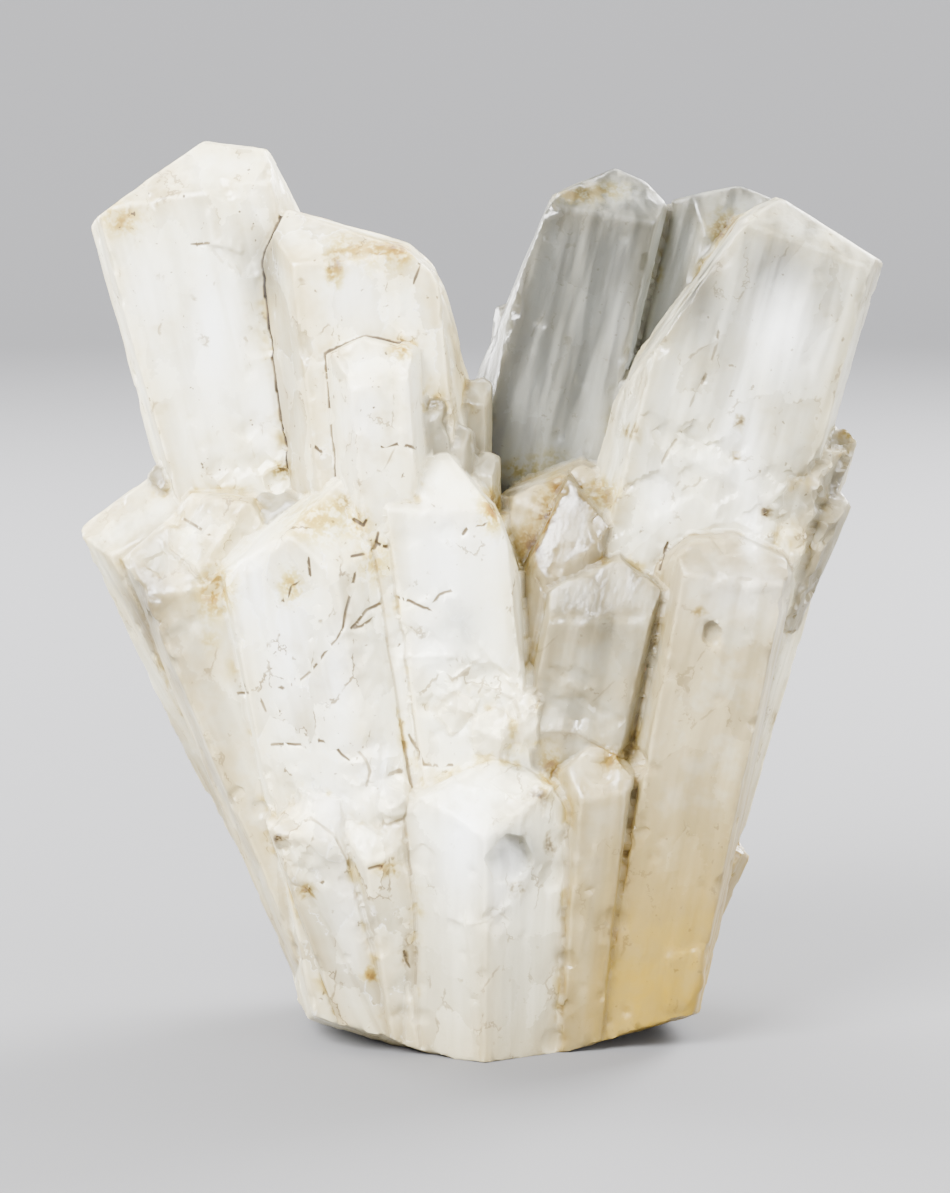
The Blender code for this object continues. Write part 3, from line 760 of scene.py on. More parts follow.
class Solid:
    """One convex shape kept as its flat faces, to measure how far points lie outside it."""

    def __init__(self, name, shape, placed, number):
        self.name = name
        self.number = number
        self.look = LOOKS.get(name, Look())
        self.normals = np.array([face.normal for face in shape.faces])
        self.offsets = np.array([face.normal.dot(face.verts[0].co) for face in shape.faces])
        corners = np.array([corner.co for corner in shape.verts])
        self.low, self.high = corners.min(axis=0), corners.max(axis=0)
        turned = np.array(placed.to_3x3())
        self.axes = turned / np.linalg.norm(turned, axis=0)
        self.foot = np.array(placed.translation)

    def measure(self, points):
        """How far out each point is, which way is out there, and how far off the nearest edge is."""
        heights = points @ self.normals.T - self.offsets
        ordered = np.partition(heights, -2, axis=1)
        highest = ordered[:, -1]
        shares = np.exp((heights - highest[:, None]) / EDGE_SOFTNESS)
        total = shares.sum(axis=1)
        outward = (shares / total[:, None]) @ self.normals
        return highest + EDGE_SOFTNESS * np.log(total), outward, highest - ordered[:, -2]

    def tones(self, points):
        """A shade from -1 to 1 for each point, the same all over one flat face."""
        shades = np.random.default_rng(FACE_SEED + self.number).uniform(-1, 1, len(self.normals))
        return shades[np.argmax(points @ self.normals.T - self.offsets, axis=1)]

    def near(self, points):
        """Which of the points are within reach of the shape."""
        close = (points > self.low - REACH) & (points < self.high + REACH)
        return np.flatnonzero(close.all(axis=1))

    def along_grain(self, points):
        """The points in the crystal's own directions: across, into and along it."""
        return (points - self.foot) @ self.axes


@dataclass
class Reading:
    """What is known of each point: whose surface it is on, how far out, which way is out, how far
    off the nearest edge and the nearest seam between two crystals are, whether it lies where
    something is broken off, and the shade of its face."""

    owner: np.ndarray
    distance: np.ndarray
    outward: np.ndarray
    edge: np.ndarray
    seam: np.ndarray
    broken: np.ndarray
    tone: np.ndarray


def prism_outline(width, depth, flat):
    """The six corners of a prism that is flat across its front and back."""
    side, shoulder, half_depth = width / 2, flat * width / 2, depth / 2
    return (
        (side, 0.0),
        (shoulder, half_depth),
        (-shoulder, half_depth),
        (-side, 0.0),
        (-shoulder, -half_depth),
        (shoulder, -half_depth),
    )


def axis_frame(crystal):
    """The matrix that stands a crystal on its foot, with its axis towards its tip."""
    foot, tip = Vector(crystal.foot), Vector(crystal.tip)
    up = (tip - foot).normalized()
    right = (Vector((1, 0, 0)) - up * up.x).normalized()
    back = up.cross(right)
    turned = Matrix((right, back, up)).transposed().to_4x4()
    return Matrix.Translation(CENTRING) @ Matrix.Translation(foot) @ turned


def facing(azimuth, slope):
    """The outward direction of a face that looks to a side and leans up from it."""
    side = Vector((math.cos(math.radians(azimuth)), math.sin(math.radians(azimuth)), 0))
    lean = math.radians(slope)
    return side, side * math.sin(lean) + Vector((0, 0, math.cos(lean)))


def cut_end(shape, length, cut):
    """Cut the end of a prism off with one flat face, and close it."""
    azimuth, slope, out, down = cut
    side, normal = facing(azimuth, slope)
    point = side * out + Vector((0, 0, length - down))
    everything = shape.verts[:] + shape.edges[:] + shape.faces[:]
    found = bmesh.ops.bisect_plane(
        shape, geom=everything, dist=MERGE_DISTANCE, plane_co=point, plane_no=normal, clear_outer=True
    )
    rim = [item for item in found["geom_cut"] if isinstance(item, bmesh.types.BMEdge)]
    if rim:
        bmesh.ops.contextual_create(shape, geom=rim)


def grow_prism(shape, outline, length):
    """Make a closed prism that widens a little from its foot to its top.

    It is made face by face, so that corners and faces come in the same order in each run.
    """
    foot = [shape.verts.new((x * FOOT_TAPER, y * FOOT_TAPER, 0)) for x, y in outline]
    top = [shape.verts.new((x, y, length)) for x, y in outline]
    shape.faces.new(reversed(foot))
    shape.faces.new(top)
    for here, (left, right) in enumerate(zip(foot, foot[1:] + foot[:1])):
        shape.faces.new((left, right, top[(here + 1) % len(top)], top[here]))


def set_in_place(shape, placed):
    """Move a shape in millimetres to where it stands, with its faces pointing out."""
    bmesh.ops.transform(shape, matrix=placed, verts=shape.verts)
    bmesh.ops.recalc_face_normals(shape, faces=shape.faces)
    return shape


def crystal_shape(crystal):
    """One crystal: a prism about its own axis, turned, and cut off by its end faces."""
    shape = bmesh.new()
    length = (Vector(crystal.tip) - Vector(crystal.foot)).length
    grow_prism(shape, prism_outline(crystal.width, crystal.depth, crystal.flat), length + PRISM_MARGIN)
    bmesh.ops.rotate(shape, matrix=Matrix.Rotation(math.radians(crystal.turn), 3, "Z"), verts=shape.verts)
    for cut in crystal.cuts:
        cut_end(shape, length, cut)
    return set_in_place(shape, axis_frame(crystal))


def root_frame():
    """Where the lump at the foot stands."""
    return Matrix.Translation(CENTRING) @ Matrix.Translation((0, ROOT_BACK, -BELOW_REST))


def root_shape():
    """The lump at the foot, which fills the space between the crystals' feet."""
    shape = bmesh.new()
    grow_prism(shape, prism_outline(ROOT_WIDTH, ROOT_DEPTH, ROOT_FLAT), ROOT_HEIGHT + BELOW_REST)
    return set_in_place(shape, root_frame())


def block_shape(placed):
    """A cutter: a large cube whose top face lies on the XY plane before it is placed."""
    shape = bmesh.new()
    bmesh.ops.create_cube(shape, size=CUTTER_SIDE)
    bmesh.ops.translate(shape, verts=shape.verts, vec=(0, 0, -CUTTER_SIDE / 2))
    return set_in_place(shape, placed)


def base_break_frame(azimuth, rise, out):
    """Where the top face of a cutter lies for one broken flat of the underside."""
    side, _ = facing(azimuth, 0)
    hinge = side.cross(Vector((0, 0, 1)))
    turned = Matrix.Rotation(math.radians(rise), 4, hinge)
    return Matrix.Translation(CENTRING) @ Matrix.Translation(side * out) @ turned


def metre_mesh(shape, name):
    """Turn a shape in millimetres into a mesh in metres."""
    bmesh.ops.transform(shape, matrix=Matrix.Scale(MM, 4), verts=shape.verts)
    mesh = bpy.data.meshes.new(name)
    shape.to_mesh(mesh)
    shape.free()
    return mesh


def helper_collection(name, shapes):
    """A collection of hidden shapes for a Boolean to join on or cut away."""
    collection = bpy.data.collections.new(name)
    bpy.context.scene.collection.children.link(collection)
    for shape in shapes:
        helper = bpy.data.objects.new(name, metre_mesh(shape, name))
        helper.hide_render = True
        collection.objects.link(helper)
    return collection


def add_boolean(cluster, operation, collection):
    """Join a collection on to the cluster, or cut it away."""
    modifier = cluster.modifiers.new(operation, "BOOLEAN")
    modifier.operation = operation
    modifier.operand_type = "COLLECTION"
    modifier.collection = collection
    modifier.solver = "EXACT"


def clear_away(collection):
    """Remove helper shapes once they have been used."""
    for helper in list(collection.objects):
        bpy.data.objects.remove(helper)
    bpy.data.collections.remove(collection)


def applied(holder, name):
    """The holder's mesh with its modifiers applied. The holder is removed."""
    evaluated = holder.evaluated_get(bpy.context.evaluated_depsgraph_get())
    mesh = bpy.data.meshes.new_from_object(evaluated)
    mesh.name = name
    bpy.data.objects.remove(holder)
    return mesh


def joined_crystals(voxel):
    """All crystals in one closed skin of small even faces, with the lists of what made them.

    Returns the mesh, the crystals as solids, and the cutters as solids.
    """
    crystals = LEFT_SPRAY + RIGHT_SPRAY + BACK_SPRAY + SMALL_CRYSTALS
    grown = [crystal_shape(crystal) for crystal in crystals]
    root = root_shape()
    solids = [
        Solid(crystal.name, shape, axis_frame(crystal), number)
        for number, (crystal, shape) in enumerate(zip(crystals, grown))
    ]
    solids.append(Solid("root", root, root_frame(), len(solids)))
    cutter_frames = [axis_frame(pit) for pit in PITS]
    cutter_frames.append(Matrix.Identity(4))
    cutter_frames += [base_break_frame(*entry) for entry in BASE_BREAKS]
    cutter_shapes = [crystal_shape(pit) for pit in PITS]
    cutter_shapes += [block_shape(placed) for placed in cutter_frames[len(PITS):]]
    cutters = [
        Solid("cutter", shape, placed, number)
        for number, (shape, placed) in enumerate(zip(cutter_shapes, cutter_frames))
    ]
    holder = bpy.data.objects.new("joining", metre_mesh(root, "joining"))
    bpy.context.scene.collection.objects.link(holder)
    joined = helper_collection("crystals", grown)
    broken = helper_collection("breaks", cutter_shapes)
    add_boolean(holder, "UNION", joined)
    add_boolean(holder, "DIFFERENCE", broken)
    skin = holder.modifiers.new("skin", "REMESH")
    skin.mode = "VOXEL"
    skin.voxel_size = voxel
    mesh = applied(holder, PIECE_NAME)
    clear_away(joined)
    clear_away(broken)
    return mesh, solids, cutters


def read_surface(points, solids, cutters):
    """Measure every point against the crystals and the cutters."""
    count = len(points)
    nearest, second = np.full(count, REACH), np.full(count, REACH)
    owner = np.zeros(count, dtype=int)
    outward, other = np.zeros((count, 3)), np.zeros((count, 3))
    edge = np.full(count, REACH)
    tone = np.zeros(count)
    for number, solid in enumerate(solids):
        near = solid.near(points)
        distance, direction, gap = solid.measure(points[near])
        closer = distance < nearest[near]
        moved = near[closer]
        second[moved], other[moved] = nearest[moved], outward[moved]
        nearest[moved], outward[moved], owner[moved] = distance[closer], direction[closer], number
        edge[moved] = gap[closer]
        tone[moved] = solid.tones(points[moved])
        runner_up = ~closer & (distance < second[near])
        second[near[runner_up]], other[near[runner_up]] = distance[runner_up], direction[runner_up]
    spread = np.maximum(np.linalg.norm(outward - other, axis=1), LEAST_SPREAD)
    seam = (second - nearest) / spread
    broken = np.zeros(count, dtype=bool)
    for cutter in cutters:
        near = cutter.near(points)
        distance, direction, _ = cutter.measure(points[near])
        inside = -distance > nearest[near]
        cut = near[inside]
        nearest[cut], outward[cut], broken[cut] = -distance[inside], -direction[inside], True
    return Reading(owner, nearest, outward, edge, seam, broken, tone)


def settle(points, solids, cutters):
    """Move the points on to the crystals' exact faces."""
    for _ in range(SETTLING_ROUNDS):
        reading = read_surface(points, solids, cutters)
        step = np.clip(reading.distance, -LONGEST_STEP, LONGEST_STEP)
        points -= reading.outward * step[:, None]
    return read_surface(points, solids, cutters)


def smooth(low, high, values):
    """Rise smoothly from 0 to 1 as the values pass from low to high."""
    share = np.clip((values - low) / (high - low), 0, 1)
    return share * share * (3 - 2 * share)


def grain_of(points, reading, solids):
    """Each point in the directions of its own crystal, with every crystal shifted on its own."""
    grain = np.empty_like(points)
    for number, solid in enumerate(solids):
        own = reading.owner == number
        grain[own] = solid.along_grain(points[own]) + GRAIN_SHIFT * number
    return grain


def sideways(reading, solids):
    """1 where the surface runs along its crystal, falling to 0 where it lies across."""
    axes = np.array([solid.axes[:, 2] for solid in solids])[reading.owner]
    return 1 - np.abs(np.einsum("ij,ij->i", axes, reading.outward))


def growth_relief(points, reading, solids):
    """How far growth and wear lift the surface: waves, growth steps, ribs, grooves and grit."""
    grain = grain_of(points, reading, solids)
    side = sideways(reading, solids)
    waves = SWELL.height * SWELL.noise_at(points) + RIPPLE.height * RIPPLE.noise_at(points)
    levels = LEVELS_EACH_WAY * (1 + STEP_LEVELS.noise_at(grain))
    steps = (np.floor(levels) + smooth(*RISER, levels % 1)) * STEP_LEVELS.height - STEPS_LOWERED
    ribs = RIBS.height * side * RIBS.noise_at(grain)
    grit = GRIT.height * GRIT.noise_at(points)
    deeper = smooth(*GROOVES_DEEPEN, GROOVES.noise_at(points))
    groove_depth = SHALLOWEST_GROOVE + GROOVES.height * deeper
    groove = groove_depth * np.exp(-((reading.seam / GROOVE_WIDTH) ** 2))
    grown = waves + steps * (STEPS_ON_ENDS + (1 - STEPS_ON_ENDS) * side) + ribs + grit - groove
    rough = BROKEN_LUMPS.height * BROKEN_LUMPS.noise_at(points)
    rough += BROKEN_GRIT.height * BROKEN_GRIT.noise_at(points)
    return np.where(reading.broken, WAVES_ON_BREAKS * waves + rough, grown)


def cleavage(solid):
    """The three directions that a calcite crystal breaks along, about its own axis."""
    slant = math.radians(CLEAVAGE_SLANT)
    directions = []
    for azimuth in CLEAVAGE_SIDES:
        angle = math.radians(azimuth + CLEAVAGE_TURN * solid.number)
        around, up = math.sin(slant), math.cos(slant)
        directions.append(solid.axes @ np.array((around * math.cos(angle), around * math.sin(angle), up)))
    return directions


class Carver:
    """Chips and breaks a surface whose points it moves."""

    def __init__(self, points, reading, solids):
        self.points = points
        self.reading = reading
        self.breaks = [cleavage(solid) for solid in solids]
        self.tree = kdtree.KDTree(len(points))
        for number, place in enumerate(points.tolist()):
            self.tree.insert(place, number)
        self.tree.balance()

    def around(self, centre, radius):
        """The numbers of the points within a ball."""
        return np.array([number for _, number, _ in self.tree.find_range(centre, radius)], dtype=int)

    def scoop(self, number, radius, depth):
        """Take a shallow round chip out at a point."""
        centre = self.points[number] + self.reading.outward[number] * (radius - depth)
        touched = self.around(centre, radius)
        arms = self.points[touched] - centre
        reach = np.linalg.norm(arms, axis=1)
        fronting = np.einsum("ij,ij->i", arms, self.reading.outward[touched]) < 0
        push = np.clip(radius - reach, 0, DEEPEST_PUSH * depth) * fronting
        self.points[touched] += arms / np.maximum(reach, 0.01)[:, None] * push[:, None]

    def cleave(self, number, size, depth, chance):
        """Break a step off at a point, along the crystal's own cleavage."""
        outward = self.reading.outward[number]
        ways = sorted(self.breaks[self.reading.owner[number]], key=lambda way: -abs(way @ outward))
        flat = ways[0] if ways[0] @ outward > 0 else -ways[0]
        lean = chance.uniform(*STEP_LEANS)
        flat = outward * (1 - lean) + flat * lean
        flat /= np.linalg.norm(flat)
        centre = self.points[number]
        touched = self.around(centre, 1.5 * size)
        arms = self.points[touched] - centre
        inside = (np.abs(arms @ ways[1]) < size * chance.uniform(0.5, 1)) & (
            np.abs(arms @ ways[2]) < size * chance.uniform(0.5, 1)
        )
        inside &= self.reading.outward[touched] @ outward > LEAST_ALIKE
        height = np.clip(arms @ flat + depth, 0, 2 * depth)
        self.points[touched] -= flat * (height * inside)[:, None]


class Picture:
    """The camera's view, to find what stands at a place in the picture."""

    def __init__(self):
        lean = math.radians(VIEW_ELEVATION)
        self.back = np.array((0.0, -math.cos(lean), math.sin(lean)))
        self.right = np.array((1.0, 0.0, 0.0))
        self.up = np.cross(self.back, self.right)
        self.target = np.array((CENTRING[0], CENTRING[1], VIEW_HEIGHT))
        self.eye = self.target + self.back * VIEW_DISTANCE
        self.focal = PIXELS_PER_MM * VIEW_DISTANCE

    def place(self, points):
        """Where points show in the picture, in its pixels, across and down."""
        arms = points - self.eye
        away = -(arms @ self.back)
        across = PICTURE_WIDTH / 2 + self.focal * (arms @ self.right) / away
        down = PICTURE_HEIGHT / 2 - self.focal * (arms @ self.up) / away
        return np.stack((across, down), axis=1)

    def look_at(self, surface, px, py):
        """The point of the surface that shows at a pixel."""
        across = (px - PICTURE_WIDTH / 2) / self.focal
        down = (py - PICTURE_HEIGHT / 2) / self.focal
        sight = Vector(-self.back + self.right * across - self.up * down).normalized()
        hit, _, _, _ = surface.ray_cast(Vector(self.eye), sight)
        if hit is None:
            raise RuntimeError(f"nothing stands at pixel {px}, {py}")
        return np.array(hit)


def toward_segment(places, start, end):
    """How far places in the picture are from a straight stretch, in its pixels."""
    start, end = np.array(start, dtype=float), np.array(end, dtype=float)
    run = end - start
    share = np.clip((places - start) @ run / (run @ run), 0, 1)
    return np.linalg.norm(places - start - share[:, None] * run, axis=1)


def fronting_points(points, outward, picture, middle):
    """The points that face the camera and lie at about the depth of a point seen in the picture."""
    depth = (points - middle) @ picture.back
    return np.flatnonzero((np.abs(depth) < DEEPEST_MARK) & (outward @ picture.back > LEAST_FRONTING))


def line_distance(line, points, outward, picture, surface):
    """How far points are from a line drawn on the front, in millimetres. Others get REACH."""
    distance = np.full(len(points), REACH)
    middle = picture.look_at(surface, *line.points[len(line.points) // 2])
    near = fronting_points(points, outward, picture, middle)
    places = picture.place(points[near])
    corners = np.array(line.points)
    margin = REACH * PIXELS_PER_MM
    close = ((places > corners.min(axis=0) - margin) & (places < corners.max(axis=0) + margin)).all(axis=1)
    near, places = near[close], places[close]
    for start, end in zip(line.points, line.points[1:]):
        distance[near] = np.minimum(distance[near], toward_segment(places, start, end) / PIXELS_PER_MM)
    return distance


def plate_inside(plate, places):
    """How far inside a plate's outline places in the picture are, in millimetres."""
    corners = np.array(plate.corners, dtype=float)
    middle = corners.mean(axis=0)
    inside = np.full(len(places), REACH)
    for start, end in zip(corners, np.roll(corners, -1, axis=0)):
        run = end - start
        normal = np.array((run[1], -run[0])) / np.linalg.norm(run)
        if (middle - start) @ normal < 0:
            normal = -normal
        inside = np.minimum(inside, (places - start) @ normal / PIXELS_PER_MM)
    return inside


def raise_plates(points, reading, picture, surface):
    """Lift or sink the flat patches that show on the front."""
    places = picture.place(points)
    for plate in PLATES:
        middle = picture.look_at(surface, *np.array(plate.corners).mean(axis=0))
        near = fronting_points(points, reading.outward, picture, middle)
        amount = smooth(*PLATE_BORDER, plate_inside(plate, places[near]))
        points[near] += reading.outward[near] * (plate.lift * amount)[:, None]


def carve_surface(points, reading, solids, picture, surface):
    """Chip the edges, pit the faces and break the fractured stretches."""
    chance = np.random.default_rng(CHANCE_SEED)
    carver = Carver(points, reading, solids)
    edges = np.flatnonzero((reading.edge < EDGE_REACH) & ~reading.broken)
    for number in chance.choice(edges, EDGE_CHIPS, replace=False):
        carver.scoop(number, chance.uniform(*CHIP_RADII), chance.uniform(*CHIP_DEPTHS))
    faces = np.flatnonzero((reading.edge > PIT_MARGIN) & ~reading.broken)
    for number in chance.choice(faces, FACE_PITS, replace=False):
        carver.scoop(number, chance.uniform(*PIT_RADII), chance.uniform(*PIT_DEPTHS))
    for number in chance.choice(edges, STRAY_STEPS, replace=False):
        carver.cleave(number, chance.uniform(*STEP_SIZES), chance.uniform(*STEP_DEPTHS), chance)
    for fracture in FRACTURES:
        middle = picture.look_at(surface, fracture.px, fracture.py)
        reachable = carver.around(middle, fracture.reach)
        reachable = reachable[reading.outward[reachable] @ picture.back > LEAST_FRONTING]
        for number in chance.choice(reachable, fracture.steps, replace=False):
            size = fracture.size * chance.uniform(0.6, 1.5)
            carver.cleave(number, size, fracture.depth * chance.uniform(0.5, 1.4), chance)
            if chance.random() < SHARE_WITH_SCOOP:
                carver.scoop(number, size * chance.uniform(0.8, 1.6), fracture.depth * 0.8)


def read_points(mesh):
    """The mesh's points in millimetres."""
    values = np.empty(len(mesh.vertices) * 3)
    mesh.vertices.foreach_get("co", values)
    return values.reshape(-1, 3) / MM


def write_points(mesh, points):
    """Put the points back, in metres."""
    mesh.vertices.foreach_set("co", (points * MM).ravel())
    mesh.update()


def read_normals(mesh):
    """Which way the mesh faces at each point."""
    values = np.empty(len(mesh.vertices) * 3)
    mesh.vertex_normals.foreach_get("vector", values)
    return values.reshape(-1, 3)


def surface_tree(mesh):
    """The mesh as a surface in millimetres that sight lines can hit."""
    shape = bmesh.new()
    shape.from_mesh(mesh)
    bmesh.ops.transform(shape, matrix=Matrix.Scale(1 / MM, 4), verts=shape.verts)
    tree = BVHTree.FromBMesh(shape)
    shape.free()
    return tree


def thinned(mesh):
    """The mesh with its triangles brought down to the number that leaves room for the cracks."""
    holder = bpy.data.objects.new("thinning", mesh)
    bpy.context.scene.collection.objects.link(holder)
    triangles = sum(len(face.vertices) - 2 for face in mesh.polygons)
    thinner = holder.modifiers.new("thin", "DECIMATE")
    thinner.ratio = min(1.0, TRIANGLES_BEFORE_CRACKS / triangles)
    return applied(holder, PIECE_NAME)


def crack_distances(points, outward, seam, picture, surface):
    """How far every point is from each line drawn on the front, or from the seam that it keeps to."""
    distances = []
    for line in CRACKS:
        distance = line_distance(line, points, outward, picture, surface)
        if line.in_seam:
            distance = np.where(distance < SEAM_REACH, seam, REACH)
        distances.append(distance)
    return distances


def refine_cracks(mesh, solids, cutters, picture, surface):
    """Divide the triangles along the cracks, so that thin lines can be cut into them."""
    for _ in range(CRACK_ROUNDS):
        points, outward = read_points(mesh), read_normals(mesh)
        seam = read_surface(points, solids, cutters).seam
        nearest = np.min(crack_distances(points, outward, seam, picture, surface), axis=0)
        shape = bmesh.new()
        shape.from_mesh(mesh)
        shape.verts.ensure_lookup_table()
        band = nearest < CRACK_BAND
        long_edges = [
            edge
            for edge in shape.edges
            if band[edge.verts[0].index]
            and band[edge.verts[1].index]
            and edge.calc_length() > SHORTEST_CRACK_EDGE * MM
        ]
        bmesh.ops.subdivide_edges(shape, edges=long_edges, cuts=1)
        bmesh.ops.triangulate(shape, faces=shape.faces)
        shape.to_mesh(mesh)
        shape.free()


def cut_cracks(mesh, solids, cutters, picture, surface):
    """Sink the cracks and raise the ribs. Returns how dirty the nearest crack is at each point,
    and how many crack widths away it is."""
    points, outward = read_points(mesh), read_normals(mesh)
    seam = read_surface(points, solids, cutters).seam
    sink, dirt = np.zeros(len(points)), np.zeros(len(points))
    away = np.full(len(points), FARTHEST_DIRT)
    thicker = smooth(*DIRT_THICKENS, DIRT_PATCHES.noise_at(points))
    patchy = LEAST_DIRT + DIRT_PATCHES.height * thicker
    for line, distance in zip(CRACKS, crack_distances(points, outward, seam, picture, surface)):
        widths = distance / line.width
        sink += np.exp(-(widths**2)) * line.depth
        if line.dark > 0:
            dirt = np.where(widths < away, line.dark * patchy, dirt)
            away = np.minimum(away, widths)
    write_points(mesh, points - outward * sink[:, None])
    return dirt, away


def spot_share(spot, points, outward, picture, surface):
    """How strongly a spot on the front covers each point, 1 at its middle and 0 outside."""
    share = np.zeros(len(points))
    middle = picture.look_at(surface, spot.px, spot.py)
    near = fronting_points(points, outward, picture, middle)
    arms = (picture.place(points[near]) - np.array((spot.px, spot.py))) / PIXELS_PER_MM
    squared = (arms[:, 0] / spot.across) ** 2 + (arms[:, 1] / spot.down) ** 2
    share[near] = np.exp(-squared)
    return share


def paint_spots(values, cover):
    """Work the windows, the painted glow and painted shade, and the stains of the front into the points'
    values. cover gives how strongly a spot covers each point."""
    for glaze in GLAZES:
        values["clear"] = values["clear"] + glaze.clear * cover(glaze)
    # Painted glow where a spot's amount is above zero, and painted shade, kept as dull, where it is below
    for painted_glow in PAINTED_GLOWS:
        share = painted_glow.amount * cover(painted_glow)
        values["painted_glow"] = np.maximum(values["painted_glow"], share)
        values["dull"] = np.maximum(values["dull"], -share)
    for stain in STAINS:
        share = stain.strength * cover(stain)
        values["stain"] = np.maximum(values["stain"], share * (1 - stain.dark))
        values["dark"] = np.maximum(values["dark"], share * stain.dark)
    values["clear"] = np.clip(values["clear"], 0, 1)


def paint_values(mesh, dirt, away, solids, cutters, picture, surface):
    """Work out what each point looks like, and keep it on the mesh for the material."""
    points, outward = read_points(mesh), read_normals(mesh)
    reading = read_surface(points, solids, cutters)
    across, up = points[:, 0], points[:, 2]
    values = {
        name: np.array([getattr(solid.look, name) for solid in solids])[reading.owner]
        for name in LOOK_VALUES
    }
    clearing = np.array([solid.name == CLEARING_CRYSTAL for solid in solids])[reading.owner]
    values["clear"] = values["clear"] + CLEARING * smooth(*CLEARING_HEIGHTS, up) * clearing
    foot = smooth(*AMBER_HEIGHTS, up) * smooth(*AMBER_SIDES, across)
    values |= {
        # painted glow, filled in by the spots below
        "painted_glow": np.zeros(len(points)),
        # dull: darker towards the bottom, with the painted shade of the dim spots added below
        "dull": LOW_DULLNESS * smooth(*DULL_HEIGHTS, up),
        "stain": np.zeros(len(points)),
        "dark": np.zeros(len(points)),
        "amber": np.maximum(foot, AMBER_RIM * smooth(*AMBER_RIM_HEIGHTS, up)),
        "dirt": dirt,
        "away": away,
        # seam: the strip along seams that gets painted shade and stains
        "seam": np.exp(-((reading.seam / SEAM_STRIP) ** 2)) * ~reading.broken,
        "edge": (1 - np.clip(reading.edge / REACH, 0, 1)) * ~reading.broken,
        "tone": reading.tone,
    }
    paint_spots(values, lambda spot: spot_share(spot, points, outward, picture, surface))
    for name in SURFACE_VALUES:
        kept = mesh.attributes.new(name, "FLOAT", "POINT")
        kept.data.foreach_set("value", values[name].astype(np.float32))
    grain = grain_of(points, reading, solids).astype(np.float32)
    mesh.attributes.new("grain", "FLOAT_VECTOR", "POINT").data.foreach_set("vector", grain.ravel())


def add_node(tree, kind, inputs, **settings):
    """Add a node, set it up, and set or link its inputs by name or number."""
    made = tree.nodes.new("ShaderNode" + kind)
    for name, value in settings.items():
        setattr(made, name, value)
    for name, value in inputs.items():
        if isinstance(value, bpy.types.NodeSocket):
            tree.links.new(value, made.inputs[name])
        else:
            made.inputs[name].default_value = value
    return made


def number_of(tree, operation, first, second=0.0):
    """A Math node's result."""
    return add_node(tree, "Math", {0: first, 1: second}, operation=operation).outputs[0]


def times(tree, first, second):
    """One number times another."""
    return number_of(tree, "MULTIPLY", first, second)


def plus(tree, first, second):
    """One number added to another."""
    return number_of(tree, "ADD", first, second)


def larger(tree, first, second):
    """The larger of two numbers."""
    return number_of(tree, "MAXIMUM", first, second)


def mapped(tree, value, low, high, to_low=0.0, to_high=1.0):
    """A value that runs smoothly between two results as the input passes from low to high."""
    inputs = {"Value": value, "From Min": low, "From Max": high, "To Min": to_low, "To Max": to_high}
    return add_node(tree, "MapRange", inputs, interpolation_type="SMOOTHSTEP").outputs["Result"]


def mixed(tree, share, first, second):
    """A colour between two others."""
    inputs = {0: share, 6: first, 7: second}
    return add_node(tree, "Mix", inputs, data_type="RGBA", clamp_factor=True).outputs[2]


def darkened(tree, share, colour, tint):
    """A colour times a tint, as often as the share says: not at all at 0 and once at 1."""
    depth = add_node(tree, "Gamma", {"Color": tint, "Gamma": share}).outputs[0]
    inputs = {0: 1.0, 6: colour, 7: depth}
    return add_node(tree, "Mix", inputs, data_type="RGBA", blend_type="MULTIPLY").outputs[2]


def attribute(tree, name):
    """A number that the mesh carries at each of its points."""
    return add_node(tree, "Attribute", {}, attribute_name=name).outputs["Fac"]


def scaled(tree, vector, sizes):
    """Coordinates in millimetres, divided into lumps of the given sizes."""
    inputs = {0: vector, 1: tuple(1 / size for size in sizes)}
    return add_node(tree, "VectorMath", inputs, operation="MULTIPLY").outputs[0]


def noise_of(tree, vector, sizes, detail=3.0, roughness=0.55, distortion=0.0):
    """Smooth noise in lumps of the given sizes."""
    inputs = {
        "Vector": scaled(tree, vector, sizes),
        "Scale": 1.0,
        "Detail": detail,
        "Roughness": roughness,
        "Distortion": distortion,
    }
    return add_node(tree, "TexNoise", inputs).outputs["Fac"]


def cells_of(tree, grain, wander, patches):
    """Uneven cells stretched along the crystals, like healed breaks: a tone for each cell, and
    how far its border is."""
    spread = add_node(tree, "CombineXYZ", {0: wander, 1: patches, 2: wander}).outputs[0]
    inputs = {0: spread, 1: (0.5, 0.5, 0.5), 2: scaled(tree, grain, (4.2, 4.2, 7.5))}
    bent = add_node(tree, "VectorMath", inputs, operation="MULTIPLY_ADD").outputs[0]
    cells = add_node(tree, "TexVoronoi", {"Vector": bent, "Scale": 1.0})
    borders = add_node(tree, "TexVoronoi", {"Vector": bent, "Scale": 1.0}, feature="DISTANCE_TO_EDGE")
    tone = mapped(tree, cells.outputs["Color"], 0.25, 0.75, -1.0, 1.0)
    return tone, borders.outputs["Distance"]


def calcite_dullness(tree, values, clouds, cell_tone):
    """How dull each place is: by its crystal, its face and its cell, with painted shade in the seams and at
    the dim spots, more so low down, but less on the sharpest edges."""
    dullness = number_of(tree, "SUBTRACT", 1.0, values["white"])
    faceted = mapped(tree, values["cracked"], 0.0, 0.7, 0.05, 0.15)
    for part in (
        times(tree, values["tone"], 0.06),
        times(tree, cell_tone, faceted),
        # Painted shade at the dim spots, and darker towards the bottom
        times(tree, values["dull"], 0.7),
        # Painted shade in the seams between crystals
        times(tree, values["seam"], 0.14),
        mapped(tree, values["edge"], 0.5, 0.86, 0.0, 0.06),
        mapped(tree, values["edge"], 0.86, 0.98, 0.0, -0.14),
        mapped(tree, clouds, 0.3, 0.7, 0.08, -0.08),
    ):
        dullness = plus(tree, dullness, part)
    return larger(tree, dullness, 0.0)


